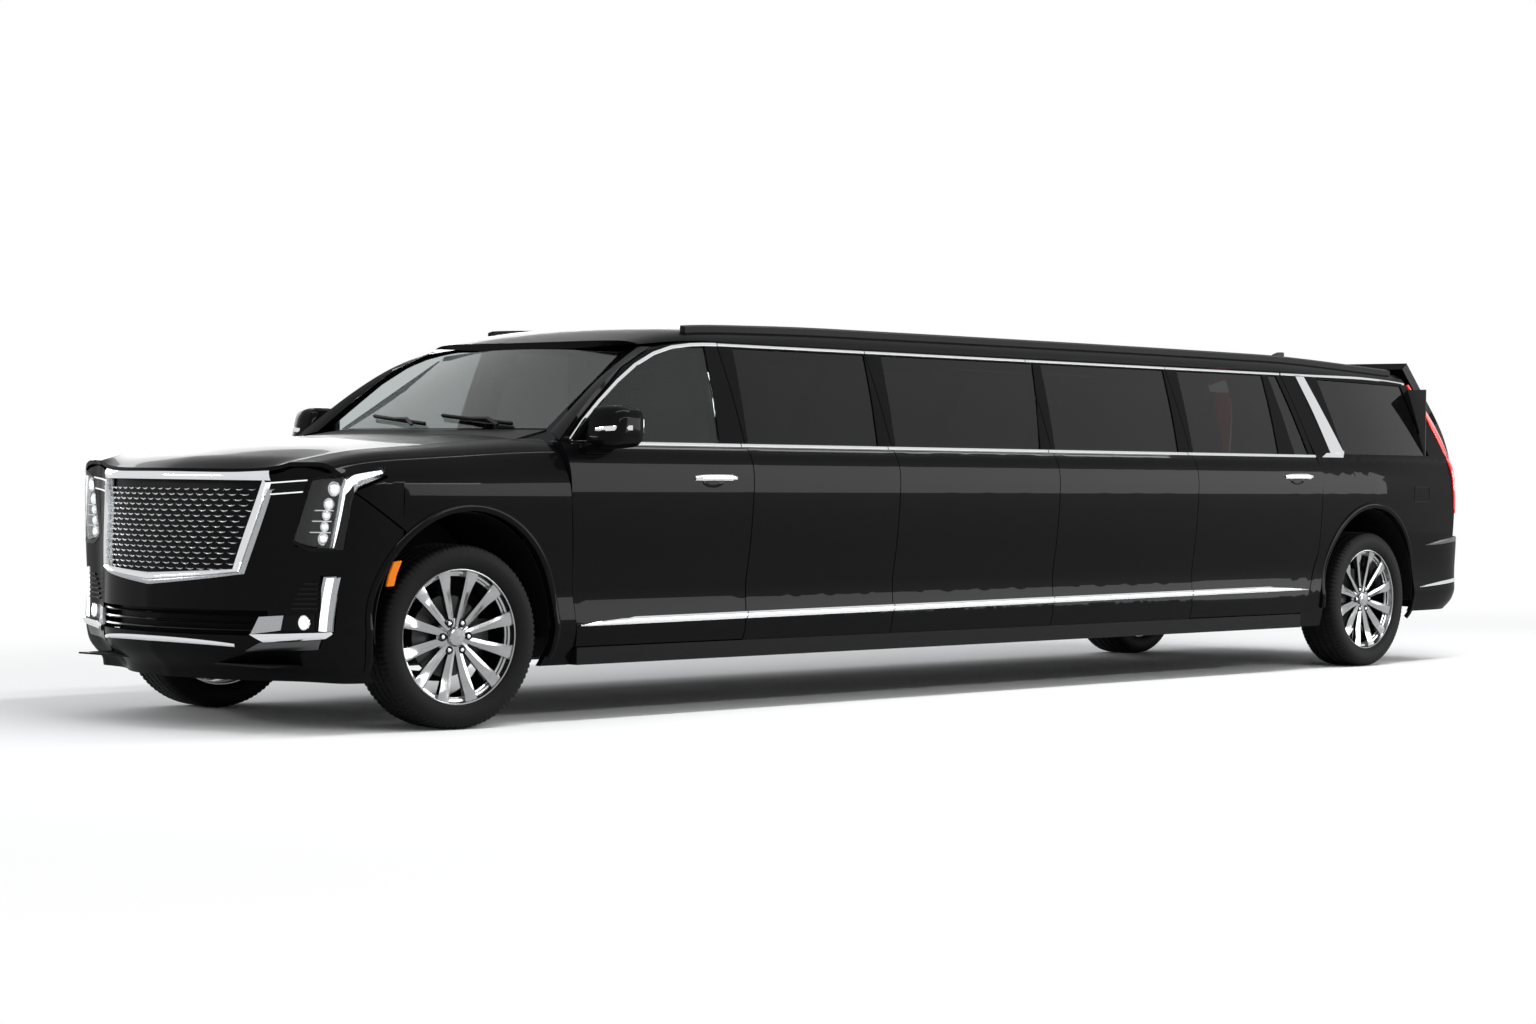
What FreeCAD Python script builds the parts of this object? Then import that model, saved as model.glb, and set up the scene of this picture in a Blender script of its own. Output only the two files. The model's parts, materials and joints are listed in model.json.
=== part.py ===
import FreeCAD, Part
import Sketcher
import math
import os
import re

from FreeCAD import Placement, Rotation, Vector

os.makedirs("parts", exist_ok=True)
doc = FreeCAD.newDocument("stretch_limousine")

# Driving dimensions in millimetres. A place called "back" is a distance behind the front
# axle, a "height" is above the ground and a "half" is a distance from the middle plane.
SIZES = {
    # whole body
    "wheelbase": 7530,
    "front_overhang": 1007,
    "rear_overhang": 1300,
    "body_width": 2060,
    "roof_height": 1935,
    "cant_height": 1812,
    "belt_height": 1300,
    "sill_height": 265,
    "door_foot_height": 352,
    "wall_thickness": 90,
    "frame_thickness": 60,
    "skin_thickness": 40,
    "panel_gap": 6,
    "seat_gap": 0.3,
    "overrun": 200,
    # doors and fixed side panels
    "front_door_back": 625,
    "front_door_length": 1190,
    "centre_panel_one_length": 1112,
    "centre_panel_two_length": 1353,
    "centre_panel_three_length": 1315,
    "rear_door_length": 1345,
    "shut_line_slant": 20,
    "pane_thickness": 5,
    "pane_recess": 6,
    # wheels
    "tyre_diameter": 834,
    "tyre_width": 280,
    "rim_diameter": 617,
    "track_half": 866.5,
    "kingpin_half": 816.5,
    "rest_steer": 8,
    "hub_radius": 75,
    "hub_length": 60,
    "spoke_thickness": 34,
    "spoke_width": 50,
    "spoke_dish": 32,
    "rim_wall": 9,
    "disc_radius": 205,
    "disc_thickness": 28,
    "hub_bore": 26,
    # arches
    "arch_radius": 530,
    "arch_height": 455,
    # nose
    "nose_foot_height": 225,
    "nose_top_height": 1135,
    "nose_thickness": 38,
    "grille_top_half": 603,
    "grille_foot_half": 502,
    "grille_top_height": 1120,
    "grille_foot_height": 705,
    "grille_point_height": 655,
    "grille_band": 45,
    "grille_depth": 30,
    "headlamp_half": 720,
    "headlamp_depth": 50,
    # hood, fenders and windshield
    "hood_thickness": 20,
    "hood_rear_back": 520,
    "hood_front_height": 1163,
    "hood_rear_height": 1338,
    "fender_thickness": 45,
    "windshield_foot_back": 650,
    "windshield_foot_height": 1366,
    "windshield_foot_half": 745,
    "windshield_top_back": 1240,
    "windshield_top_height": 1768,
    "windshield_top_half": 640,
    "windshield_bow": 75,
    "roof_front_back": 1262,
    # tail
    "roof_rear_back": 8300,
    "tailgate_foot_height": 800,
    "tailgate_thickness": 60,
    "tail_foot_height": 330,
    "tail_top_height": 790,
    "lamp_half_width": 75,
    # chassis
    "floor_height": 390,
    "floor_thickness": 40,
    "floor_half": 850,
    "sill_width": 78,
    "sill_setback": 60,
    "deck_height": 640,
    "deck_half": 700,
    "rail_width": 80,
    "rail_height": 120,
    "rail_half": 420,
    "arm_width": 80,
    "arm_height": 34,
    "arm_rise": 165,
    "knuckle_width": 90,
    "knuckle_depth": 46,
    "stub_radius": 38,
    "axle_tube_radius": 26,
    "differential_radius": 150,
    "pin_radius": 14,
    "running_gap": 0.05,
    "shaft_radius": 29,
    "engine_length": 700,
    "engine_width": 620,
    "engine_height": 560,
    "exhaust_radius": 36,
    # cabin
    "seat_width": 540,
    "seat_depth": 520,
    "seat_back_height": 620,
    "cushion_height": 180,
    "cushion_base_height": 450,
    "head_rest_height": 170,
    "head_rest_width": 270,
    "front_seat_back": 1560,
    "front_seat_half": 400,
    "partition_back": 2250,
    "partition_thickness": 60,
    "bench_depth": 560,
    "bench_back_thickness": 130,
    "bar_depth": 380,
    "bar_height": 420,
    "dashboard_back": 760,
    "dashboard_depth": 330,
    "dashboard_height": 330,
    "dashboard_base_height": 1000,
    "steering_wheel_radius": 190,
    "steering_wheel_grip": 15,
    # fittings
    "handle_length": 300,
    "handle_width": 32,
    "handle_reach": 22,
    "mirror_length": 250,
    "mirror_width": 215,
    "mirror_height": 190,
    "mirror_back": 700,
    "mirror_base_height": 1290,
    "roof_rail_half": 700,
    "roof_rail_width": 36,
    "roof_rail_height": 30,
    "fin_length": 150,
    "fin_height": 50,
    "fin_width": 40,
    "gap_over": 20,
}

sheet = doc.addObject("Spreadsheet::Sheet", "Sizes")
for row, (alias, value) in enumerate(SIZES.items(), start=1):
    sheet.set(f"A{row}", alias.replace("_", " "))
    sheet.set(f"B{row}", str(value))
    sheet.setAlias(f"B{row}", alias)
doc.recompute()


def size(alias):
    """The value that the sheet holds under an alias."""
    return float(sheet.get(alias))


FRONT_AXLE = "(front_overhang - wheelbase - rear_overhang) / 2"
REAR_AXLE = "(front_overhang + wheelbase - rear_overhang) / 2"
front_axle_x = (size("front_overhang") - size("wheelbase") - size("rear_overhang")) / 2
rear_axle_x = front_axle_x + size("wheelbase")
half_width = size("body_width") / 2
axle_height = size("tyre_diameter") / 2
slant = math.tan(math.radians(size("shut_line_slant")))
made = {}


def bind(item, prop, text):
    """Bind a property to an expression in which each known word is a cell of the sheet."""
    words = re.sub(r"[a-z_]+", lambda word: cell(word.group(0)), text)
    item.setExpression(prop, words)


def cell(word):
    return "Sizes." + word if word in SIZES else word


def place(item, back, across, height):
    """Bind where an object stands, from the expressions of its three places."""
    bind(item, ".Placement.Base.x", back)
    bind(item, ".Placement.Base.y", across)
    bind(item, ".Placement.Base.z", height)


def box(name, length, width, height, back, across, low):
    item = doc.addObject("Part::Box", name)
    bind(item, "Length", length)
    bind(item, "Width", width)
    bind(item, "Height", height)
    place(item, back, across, low)
    return item


def cylinder(name, radius, height, back, across, low, turn=None):
    item = doc.addObject("Part::Cylinder", name)
    bind(item, "Radius", radius)
    bind(item, "Height", height)
    if turn:
        item.Placement = Placement(Vector(), turn)
    place(item, back, across, low)
    return item


ALONG_X = Rotation(Vector(0, 1, 0), 90)
ALONG_Y = Rotation(Vector(1, 0, 0), -90)


def fuse(name, pieces):
    item = doc.addObject("Part::MultiFuse", name)
    item.Shapes = pieces
    item.Refine = True
    return item


def cut(name, base, tool):
    item = doc.addObject("Part::Cut", name)
    item.Base = base
    item.Tool = tool
    return item


def feature(name, shape):
    """A piece whose shape comes from the surface formulas below."""
    item = doc.addObject("Part::Feature", name)
    item.Shape = shape
    return item


def keep(node, item):
    """Give a sub-part its label and list it for writing."""
    item.Label = node
    made[node] = item
    return item


def smooth(points, place_on):
    """A curve through (place, value) pairs: cubic pieces with Catmull-Rom slopes."""
    last = len(points) - 2
    index = 0
    while index < last and place_on > points[index + 1][0]:
        index += 1
    (x0, y0), (x1, y1) = points[index], points[index + 1]
    before = points[max(index - 1, 0)]
    after = points[min(index + 2, last + 1)]
    slope0 = (y1 - before[1]) / (x1 - before[0])
    slope1 = (after[1] - y0) / (after[0] - x0)
    span = x1 - x0
    way = min(max((place_on - x0) / span, 0), 1)
    return (y0 * (1 + 2 * way) * (1 - way) ** 2 + span * slope0 * way * (1 - way) ** 2
            + y1 * way ** 2 * (3 - 2 * way) - span * slope1 * way ** 2 * (1 - way))


def mix(low, high, way):
    return low + (high - low) * way


# The side of the body in section: (share of the height from sill to belt, share of the half
# width), then (share of the height from belt to cant rail, share of the half width).
lower_side_shares = [(0, .930), (.063, .971), (.13, .9855), (.18, .992), (.245, .9825),
                     (.343, .9786), (.517, .992), (.662, .9985), (.787, 1), (.894, .9925),
                     (.961, .974), (1, .9475)]
upper_side_shares = [(0, .9475), (.5, .869), (1, .777)]
front_taper_share = .145
rear_taper_share = .109


def side_half(height):
    """Half width of the straight part of the body at a height."""
    sill, belt = size("sill_height"), size("belt_height")
    if height <= belt:
        return half_width * smooth(lower_side_shares, (height - sill) / (belt - sill))
    return half_width * smooth(upper_side_shares, (height - belt) / (size("cant_height") - belt))


def taper(back):
    """How much narrower the body is ahead of the front axle and behind the rear one."""
    ahead = max(-back / size("front_overhang"), 0)
    behind = max((back - size("wheelbase")) / size("rear_overhang"), 0)
    return 1 - front_taper_share * ahead ** 2 - rear_taper_share * behind ** 1.6


normal_step_share = .04


def panel(skin, thickness, u_count, v_count, level=False):
    """A solid panel: the skin over u and v from 0 to 1, and the same skin set inwards
    along its normals, or along their level part. Ruled faces close the four rims."""
    step = normal_step_share
    outer, inner = [], []
    for i in range(u_count):
        outer.append([])
        inner.append([])
        for j in range(v_count):
            u, v = i / (u_count - 1), j / (v_count - 1)
            along = skin(min(u + step, 1), v) - skin(max(u - step, 0), v)
            up = skin(u, min(v + step, 1)) - skin(u, max(v - step, 0))
            normal = along.cross(up)
            if level:
                normal.z = 0
            normal.normalize()
            outer[i].append(skin(u, v))
            inner[i].append(skin(u, v) + normal * thickness)
    return between(outer, inner)


def smooth_face(grid):
    """A cubic surface that follows a grid of control points and starts and ends on its rim."""
    knots, counts = [], []
    for count in (len(grid), len(grid[0])):
        spans = count - 3
        knots.append([index / spans for index in range(spans + 1)])
        counts.append([4] + [1] * (spans - 1) + [4])
    face = Part.BSplineSurface()
    face.buildFromPolesMultsKnots(grid, counts[0], counts[1], knots[0], knots[1], False, False,
                                  3, 3)
    return face


def between(outer, inner):
    """The solid between two grids of points: two smooth faces and four ruled rims."""
    faces, rims = [], []
    for grid in (outer, inner):
        face = smooth_face(grid)
        u_low, u_high, v_low, v_high = face.bounds()
        faces.append(face.toShape())
        rims.append([face.uIso(u_low).toShape(), face.uIso(u_high).toShape(),
                     face.vIso(v_low).toShape(), face.vIso(v_high).toShape()])
    for near, far in zip(*rims):
        faces.append(Part.makeRuledSurface(near, far))
    shell = Part.makeShell(faces)
    shell.sewShape()
    solid = Part.makeSolid(shell)
    if solid.Volume < 0:
        solid.reverse()
    return solid


def prism(points, depth):
    """A solid of an outline's points, pushed out along a vector."""
    return Part.Face(Part.makePolygon(points + points[:1])).extrude(depth)


def mirrored(shape):
    return shape.mirror(Vector(0, 0, 0), Vector(0, 1, 0))


def both_sides(name, shape):
    """Keep a shape of the right side and its mirror image on the left."""
    keep(name + "_right", feature(name + "_right", shape))
    keep(name + "_left", feature(name + "_left", mirrored(shape)))


def pair(name, shape):
    solids = shape.Solids + mirrored(shape).Solids
    return keep(name, feature(name, Part.makeCompound(solids)))


def on_skin(points):
    """Points of a shut line, as (back, height) seen on the skin, moved onto the outer
    plane so that the slanted cut meets the skin there."""
    plane = half_width + size("overrun")
    moved = []
    for back, height in points:
        level = min(max(height, size("sill_height")), size("cant_height"))
        reach = plane - side_half(level) * taper(back)
        moved.append(Vector(front_axle_x + back + reach * slant, plane, height))
    return moved


def slanted(points):
    """The block inside a shut line: it runs inwards and forwards at the shut line's slant."""
    depth = half_width + size("overrun") - size("wall_thickness")
    return prism(on_skin(points), Vector(-depth * slant, -depth, 0))


def straight(points):
    """The block inside a window's outline, straight through the wall."""
    plane = half_width + size("overrun")
    outline = [Vector(front_axle_x + back, plane, height) for back, height in points]
    return prism(outline, Vector(0, -plane, 0))


# Lines that the side pieces share: places behind the front axle of the shut lines.
front_door_lead = size("front_door_back")
seam_one = front_door_lead + size("front_door_length")
seam_two = seam_one + size("centre_panel_one_length")
seam_three = seam_two + size("centre_panel_two_length")
seam_four = seam_three + size("centre_panel_three_length")
rear_door_trail = seam_four + size("rear_door_length")
gap = size("panel_gap")
sill, belt, cant = size("sill_height"), size("belt_height"), size("cant_height")
foot = size("door_foot_height")
belt_to_cant = cant - belt
foot_to_belt = belt - foot


def wall_section(depth_low, depth_high, inset):
    """The closed section of a side wall, set in from the skin and with its own depths."""
    steps = 9
    low_outer, low_inner, high_outer, high_inner = [], [], [], []
    for index in range(steps + 1):
        height = mix(sill, belt, index / steps)
        reach = side_half(height) - inset
        low_outer.append(Vector(0, reach, height))
        low_inner.append(Vector(0, half_width - inset - depth_low, height))
        height = mix(belt, cant, index / steps)
        reach = side_half(height) - inset
        high_outer.append(Vector(0, reach, height))
        high_inner.append(Vector(0, reach - depth_high, height))
    edges = []
    for line in (low_outer, high_outer):
        curve = Part.BSplineCurve()
        curve.interpolate(line)
        edges.append(curve.toShape())
    edges.append(Part.makeLine(high_outer[-1], high_inner[-1]))
    curve = Part.BSplineCurve()
    curve.interpolate(high_inner[::-1])
    edges.append(curve.toShape())
    edges.append(Part.makeLine(high_inner[0], low_inner[-1]))
    edges.append(Part.makeLine(low_inner[-1], low_inner[0]))
    edges.append(Part.makeLine(low_inner[0], low_outer[0]))
    return Part.Face(Part.Wire(edges))


def wall(first, last, depth_low, depth_high, inset):
    """A straight stretch of side wall between two places behind the front axle."""
    shape = wall_section(depth_low, depth_high, inset).extrude(Vector(last - first, 0, 0))
    shape.translate(Vector(front_axle_x + first, 0, 0))
    return shape


def wall_between(first, last):
    reach = size("overrun")
    return wall(first - reach, last + reach, size("wall_thickness"), size("frame_thickness"), 0)


def pane_between(first, last):
    """A sheet of glass behind the skin, from the belt to the cant rail."""
    outer, inner = [], []
    steps = 6
    for index in range(steps + 1):
        height = mix(belt, cant, index / steps)
        reach = side_half(height) - size("pane_recess")
        outer.append(Vector(0, reach, height))
        inner.append(Vector(0, reach - size("pane_thickness"), height))
    near, far = Part.BSplineCurve(), Part.BSplineCurve()
    near.interpolate(outer)
    far.interpolate(inner)
    edges = [near.toShape(), Part.makeLine(outer[-1], inner[-1]), far.toShape(),
             Part.makeLine(inner[0], outer[0])]
    start = first - size("overrun")
    face = Part.Face(Part.Wire(Part.__sortEdges__(edges)))
    shape = face.extrude(Vector(last + size("overrun") - start, 0, 0))
    shape.translate(Vector(front_axle_x + start, 0, 0))
    return shape


def quad(top_front, top_rear, foot_front, foot_rear, top, low):
    return [(foot_front, low), (top_front, top), (top_rear, top), (foot_rear, low)]


def grown(points, reach):
    """An outline moved out by a reach on every side, about its middle."""
    middle_back = sum(point[0] for point in points) / len(points)
    middle_height = sum(point[1] for point in points) / len(points)
    moved = []
    for back, height in points:
        moved.append((back + reach * math.copysign(1, back - middle_back),
                      height + reach * math.copysign(1, height - middle_height)))
    return moved


# Windows of the side, each a list of corners (back, height). The shares are of the length
# of the panel or door that carries the window and of the height from belt to cant rail.
window_top_share = .945
window_foot_share = .012
window_top = belt + belt_to_cant * window_top_share
window_foot = belt + belt_to_cant * window_foot_share
front_window_shares = [(.06, .012), (.36, .58), (.50, .78), (.60, .86), (.74, .925), (.925, .945),
                       (.88, .012)]
front_window = [(front_door_lead + size("front_door_length") * a, belt + belt_to_cant * b)
                for a, b in front_window_shares]


def pane_outline(lead, length, shares):
    top_front, top_rear, foot_front, foot_rear = [lead + length * share for share in shares]
    return quad(top_front, top_rear, foot_front, foot_rear, window_top, window_foot)


window_one = pane_outline(seam_one, size("centre_panel_one_length"), (.10, .997, .052, .939))
window_two = pane_outline(seam_two, size("centre_panel_two_length"), (.096, 1.05, .05, .955))
window_three = pane_outline(seam_three, size("centre_panel_three_length"),
                            (.103, .986, .053, .94))
window_four = pane_outline(seam_four, size("rear_door_length"), (.086, .745, .049, .708))
window_five = pane_outline(seam_four, size("rear_door_length"), (.79, .858, .835, .95))


def door_shape(outline, windows, first, last):
    shape = wall_between(first, last).common(slanted(outline))
    for window in windows:
        shape = shape.cut(straight(window))
    return shape


def glass_shape(windows, first, last):
    sheet_of_glass = pane_between(first, last)
    return [sheet_of_glass.common(straight(window)) for window in windows]


# Front door: the leading edge leans back to the sill, and the frame follows the pillar.
front_door_shares = [(.043, 0), (0, .71), (-.025, 1)]
front_door_frame_shares = [(.045, .055), (.245, .42), (.42, .72), (.60, .90), (.80, .975)]
lead_line = [(front_door_lead + size("front_door_length") * a, foot + foot_to_belt * b)
             for a, b in front_door_shares]
frame_line = [(front_door_lead + size("front_door_length") * a, belt + belt_to_cant * b)
              for a, b in front_door_frame_shares]
door_top = cant - gap / 2
front_door_outline = (lead_line + frame_line
                      + [(seam_one - gap / 2, door_top), (seam_one - gap / 2, foot)])
both_sides("front_door", door_shape(front_door_outline, [front_window],
                                    front_door_lead, seam_one))
glass = glass_shape([front_window], front_door_lead, seam_one)
both_sides("front_door_glass", glass[0])

# Rear door: its trailing edge leans forward above the belt and is cut by the wheel arch.
rear_door_trail_shares = [(.875, 0), (.99, .39), (1, .66), (1, .97)]
trail_line = [(seam_four + size("rear_door_length") * a, foot + foot_to_belt * b)
              for a, b in rear_door_trail_shares]
rear_door_top_share = .888
rear_door_outline = ([(seam_four + gap / 2, foot), (seam_four + gap / 2, door_top),
                      (seam_four + size("rear_door_length") * rear_door_top_share, door_top)]
                     + trail_line[::-1])
both_sides("rear_door", door_shape(rear_door_outline, [window_four, window_five],
                                   seam_four, rear_door_trail))
both_sides("rear_door_glass", Part.makeCompound(
    glass_shape([window_four, window_five], seam_four, rear_door_trail)))

# Centre panels: three fixed lengths a side, from the front door to the rear door.
centre_top = cant - size("seat_gap")
centre_foot = foot - gap + size("seat_gap")
seams = [seam_one, seam_two, seam_three, seam_four]
centre_windows = [window_one, window_two, window_three]
panels = []
for index, window in enumerate(centre_windows):
    first, last = seams[index] + gap / 2, seams[index + 1] - gap / 2
    rectangle = [(first, centre_foot), (first, centre_top), (last, centre_top),
                 (last, centre_foot)]
    solid = door_shape(rectangle, centre_windows, first, last)
    panels.append(solid)
both_sides("centre_panels", Part.makeCompound(panels))
# Fenders, hood and nose.
def seam_half(back):
    """Half width of the seam between hood and fender."""
    return half_width * smooth(hood_seam_half_shares, back / size("front_overhang"))


def seam_height(back):
    """Height of the seam between hood and fender."""
    low, high = size("hood_front_height"), size("hood_rear_height")
    return mix(low, high, smooth(hood_seam_rise_shares, back / size("front_overhang")))


hood_seam_half_shares = [(-.95, .57), (-.75, .66), (-.5, .728), (-.2, .777), (.4, .806),
                         (.7, .82)]
hood_seam_rise_shares = [(-.95, -.06), (-.75, .19), (-.5, .47), (-.2, .62), (.4, .85), (.7, .88)]
shoulder_shares = [(.956, .62), (.925, .80), (.874, .92)]


def fender_skin(u, v):
    """Fender: along the body with u, up the side and over to the hood seam with v."""
    back = mix(fender_front, front_door_lead + size("overrun"), u)
    narrow = taper(back)
    top_height, top_half = seam_height(back), seam_half(back)
    shoulder = mix(sill, belt, shoulder_start_share)
    line = [(fender_low + (shoulder - fender_low) * way / 5) for way in range(6)]
    points = [(side_half(height) * narrow, height) for height in line]
    for half_share, rise_share in shoulder_shares:
        points.append((half_width * half_share * narrow,
                       mix(shoulder, top_height, rise_share)))
    points.append((top_half, top_height))
    last = len(points) - 1
    halves = [(index / last, point[0]) for index, point in enumerate(points)]
    heights = [(index / last, point[1]) for index, point in enumerate(points)]
    return Vector(front_axle_x + back, smooth(halves, v), smooth(heights, v))


shoulder_start_share = .80
fender_front = -size("front_overhang") * .70
fender_low = sill
front_plan_shares = [(0, -1, 0), (.1, -.978, .195), (.2, -.938, .36), (.3, -.879, .485),
                     (.38, -.809, .592), (.46, -.752, .70), (.54, -.717, .816),
                     (.62, -.685, .898), (.70, -.625, .937), (.80, -.526, .960),
                     (1, -.377, .979)]
front_lean_shares = [(.12, .125), (.14, .105), (.176, .03), (.21, .006), (.27, 0), (.34, .004),
                     (.41, .018), (.483, .04), (.54, .062), (.60, .085)]


def nose_skin(u, v):
    """Nose: round the front in plan with u, from the left arch to the right, and up with v."""
    way = abs(2 * u - 1)
    height = mix(size("nose_foot_height"), size("nose_top_height"), v)
    plan_back = smooth([(a, b) for a, b, c in front_plan_shares], way)
    plan_half = smooth([(a, c) for a, b, c in front_plan_shares], way)
    fade = 1 - min(max((way - .6) / .2, 0), 1)
    lean = smooth(front_lean_shares, height / size("roof_height")) * fade
    level = max(height, sill)
    across = side_half(level) * plan_half
    back = size("front_overhang") * (plan_back + lean)
    return Vector(front_axle_x + back, math.copysign(across, u - .5), height)


def hood_skin(u, v):
    """Hood: back from the nose with u and across from seam to seam with v."""
    across = 2 * v - 1
    reach = size("front_overhang")
    rear = size("hood_rear_back") - reach * hood_rear_bow_share * across ** 2
    front = -reach * (hood_front_share - hood_front_bow_share * abs(across) ** 1.6)
    back = mix(front, rear, u)
    edge_half, edge_height = seam_half(back) - gap, seam_height(back)
    crown = mix(size("hood_front_height"), size("hood_rear_height"),
                smooth(hood_crown_shares, back / reach))
    height = crown + (edge_height - crown) * abs(across) ** 2.4
    return Vector(front_axle_x + back, edge_half * across, height)


hood_front_share, hood_front_bow_share, hood_rear_bow_share = .905, .155, .09
hood_crown_shares = [(-.95, -.02), (-.9, 0), (-.75, .30), (-.5, .58), (-.2, .79), (.2, .93),
                     (.55, 1)]
arch = Part.makeCylinder(size("arch_radius"), 2 * half_width,
                         Vector(front_axle_x, -half_width, size("arch_height")),
                         Vector(0, 1, 0))
fender = panel(fender_skin, size("fender_thickness"), 13, 15)
reach = size("front_overhang")
fender_nose_shares = [(.05, 0), (.05, .2), (-.37, .64), (-.60, .80), (-.44, .885), (-.69, .86)]
lead_back = [(back - gap, height) for back, height in lead_line]
nose_top = size("nose_top_height")
fender_outline = ([(lead_back[0][0], sill)] + lead_back
                  + [(size("hood_rear_back") + size("overrun") / 2, size("hood_rear_height")),
                     (-reach * .69, size("hood_rear_height")), (-reach * .69, nose_top + gap),
                     (-reach * .455, nose_top + gap), (-reach * .455, nose_top - gap),
                     (-reach * .62, nose_top * .94), (-reach * .38, nose_top * .80),
                     (reach * .05, nose_top * .5), (reach * .05, sill)])
fender = fender.common(slanted(fender_outline)).cut(arch)

hood = keep("hood", feature("hood", panel(hood_skin, -size("hood_thickness"), 13, 11)))

nose = panel(nose_skin, size("nose_thickness"), 31, 8, level=True).cut(arch)
keep("front_bumper", feature("front_bumper", nose))
# Grille and headlamps fill openings of the nose.
def front_view(points):
    """The block inside an outline of (half, height) points, pushed back through the nose."""
    outline = [Vector(-size("front_overhang") - size("overrun") + front_axle_x, half, height)
               for half, height in points]
    return prism(outline, Vector(size("front_overhang"), 0, 0))


def grille_outline(reach):
    top, low = size("grille_top_height") + reach, size("grille_foot_height") - reach * .4
    top_half, foot_half = size("grille_top_half") + reach, size("grille_foot_half") + reach
    point = size("grille_point_height") - reach
    return [(-top_half, top), (-foot_half, low), (0, point), (foot_half, low), (top_half, top)]


def nose_slice(depth, thickness):
    """A layer of the nose, set in from its skin."""
    return panel(lambda u, v: set_in(nose_skin, u, v, depth), thickness, 31, 8)


def set_in(skin, u, v, depth):
    step = 1e-3
    along = skin(min(u + step, 1), v) - skin(max(u - step, 0), v)
    up = skin(u, min(v + step, 1)) - skin(u, max(v - step, 0))
    return skin(u, v) + along.cross(up).normalize() * depth


nose_layer = nose_slice(size("seat_gap"), size("grille_depth"))
band = size("grille_band")
surround = nose_layer.common(front_view(grille_outline(-size("seat_gap"))))
surround = surround.cut(front_view(grille_outline(-band)))
keep("grille_surround", feature("grille_surround", surround))
mesh_layer = nose_slice(size("grille_depth") * .3, size("grille_depth") * .5)
mesh = mesh_layer.common(front_view(grille_outline(-band - size("seat_gap"))))
keep("grille", feature("grille", mesh))

lamp_corner_shares = [(-.85, .732), (-.69, .722), (-.66, .93), (-.60, .985), (-.46, 1.012),
                      (-.46, 1.03), (-.64, 1.0), (-.85, .962)]


def lamp_block(reach):
    plane = half_width + size("overrun")
    points = [(front_axle_x + size("front_overhang") * a, size("nose_top_height") * b)
              for a, b in lamp_corner_shares]
    outline = [Vector(x, plane, z) for x, z in grown(points, reach)]
    return prism(outline, Vector(0, size("headlamp_half") - reach - plane, 0))


lamp_layer = nose_slice(size("seat_gap"), size("headlamp_depth"))
lamp = lamp_layer.common(lamp_block(0))
pair("headlamps", lamp)
nose = nose.cut(front_view(grille_outline(0)))
nose = nose.cut(lamp_block(0)).cut(mirrored(lamp_block(0)))
fender_side = straight([(-reach * .62 - gap, nose_top * .94 - gap),
                        (-reach * .38 - gap, nose_top * .80 - gap), (0, nose_top * .80),
                        (0, 2 * nose_top), (-reach * .62 - gap, 2 * nose_top)])
nose = nose.cut(fender_side).cut(mirrored(fender_side))
fender = fender.cut(nose).cut(lamp_block(gap)).cut(slanted(grown(front_door_outline, gap)))
both_sides("fender", fender)
made["front_bumper"].Shape = nose

# Windshield and its pillars.
def windshield_skin(u, v):
    """Windshield: across with u, from the cowl to the roof with v."""
    across = 2 * u - 1
    half = mix(size("windshield_foot_half"), size("windshield_top_half"), v)
    bow = size("windshield_bow") * across ** 2
    back = mix(size("windshield_foot_back"), size("windshield_top_back"), v) + bow
    height = mix(size("windshield_foot_height"), size("windshield_top_height"), v)
    height -= bow * windshield_drop_share * v
    return Vector(front_axle_x + back, half * across, height)


windshield_drop_share = .3
windshield = panel(windshield_skin, size("pane_thickness"), 11, 5)
keep("windshield", feature("windshield", windshield))


def pillar_skin(u, v):
    """Pillar beside the windshield: from the glass out to the door frame with u, and up
    from the cowl to the roof with v."""
    glass_edge = windshield_skin(1, v) + Vector(0, size("seat_gap"), 0)
    lead = front_door_lead - gap
    back = lead + size("front_door_length") * smooth(pillar_back_shares, v)
    height = belt + belt_to_cant * smooth(pillar_rise_shares, v)
    door_edge = Vector(front_axle_x + back, side_half(height) - gap, height)
    bulge = size("frame_thickness") * pillar_bulge_share * math.sin(math.pi * u)
    return glass_edge + (door_edge - glass_edge) * u + Vector(-bulge, 0, bulge)


pillar_bulge_share = .2
pillar_back_shares = [(0, -.02), (.35, .20), (.7, .42), (1, .62)]
pillar_rise_shares = [(0, .02), (.35, .42), (.7, .74), (1, .92)]
pillar = panel(pillar_skin, size("skin_thickness"), 7, 9)
pillar = pillar.cut(slanted(grown(front_door_outline, gap)))
pair("windshield_pillars", pillar)


# Roof, from the windshield to the tailgate.
def roof_way(back):
    return (back - size("roof_front_back")) / (size("roof_rear_back") - size("roof_front_back"))


def roof_edge(back):
    """Height of the roof's edge, which lies on the cant rail along the middle."""
    return cant + (size("roof_height") - cant) * smooth(roof_edge_shares, roof_way(back))


def gate_bow(rise):
    """How far the tailgate's sides stand ahead of its middle, less towards its top."""
    return size("rear_overhang") * gate_bow_share * (1 - .8 * rise)


gate_bow_share = .07


def roof_point(u, v, lift):
    """Roof: back with u and across with v. The edge lies on the cant rail."""
    across = 2 * v - 1
    turn = math.sin(across * math.pi / 2)
    back = mix(size("roof_front_back") + size("windshield_bow") * turn ** 2,
               size("roof_rear_back") - gate_bow(1) * turn ** 2, u)
    way = roof_way(back)
    edge_height = roof_edge(back)
    crown = (size("roof_height") - cant) * smooth(roof_crown_shares, way) - lift
    half = smooth(roof_half_shares, way) * half_width
    height = edge_height + crown * max(1 - turn ** 2, 0) ** (1 / 3)
    return Vector(front_axle_x + back, (half - lift * 1.2) * turn, height)


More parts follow.
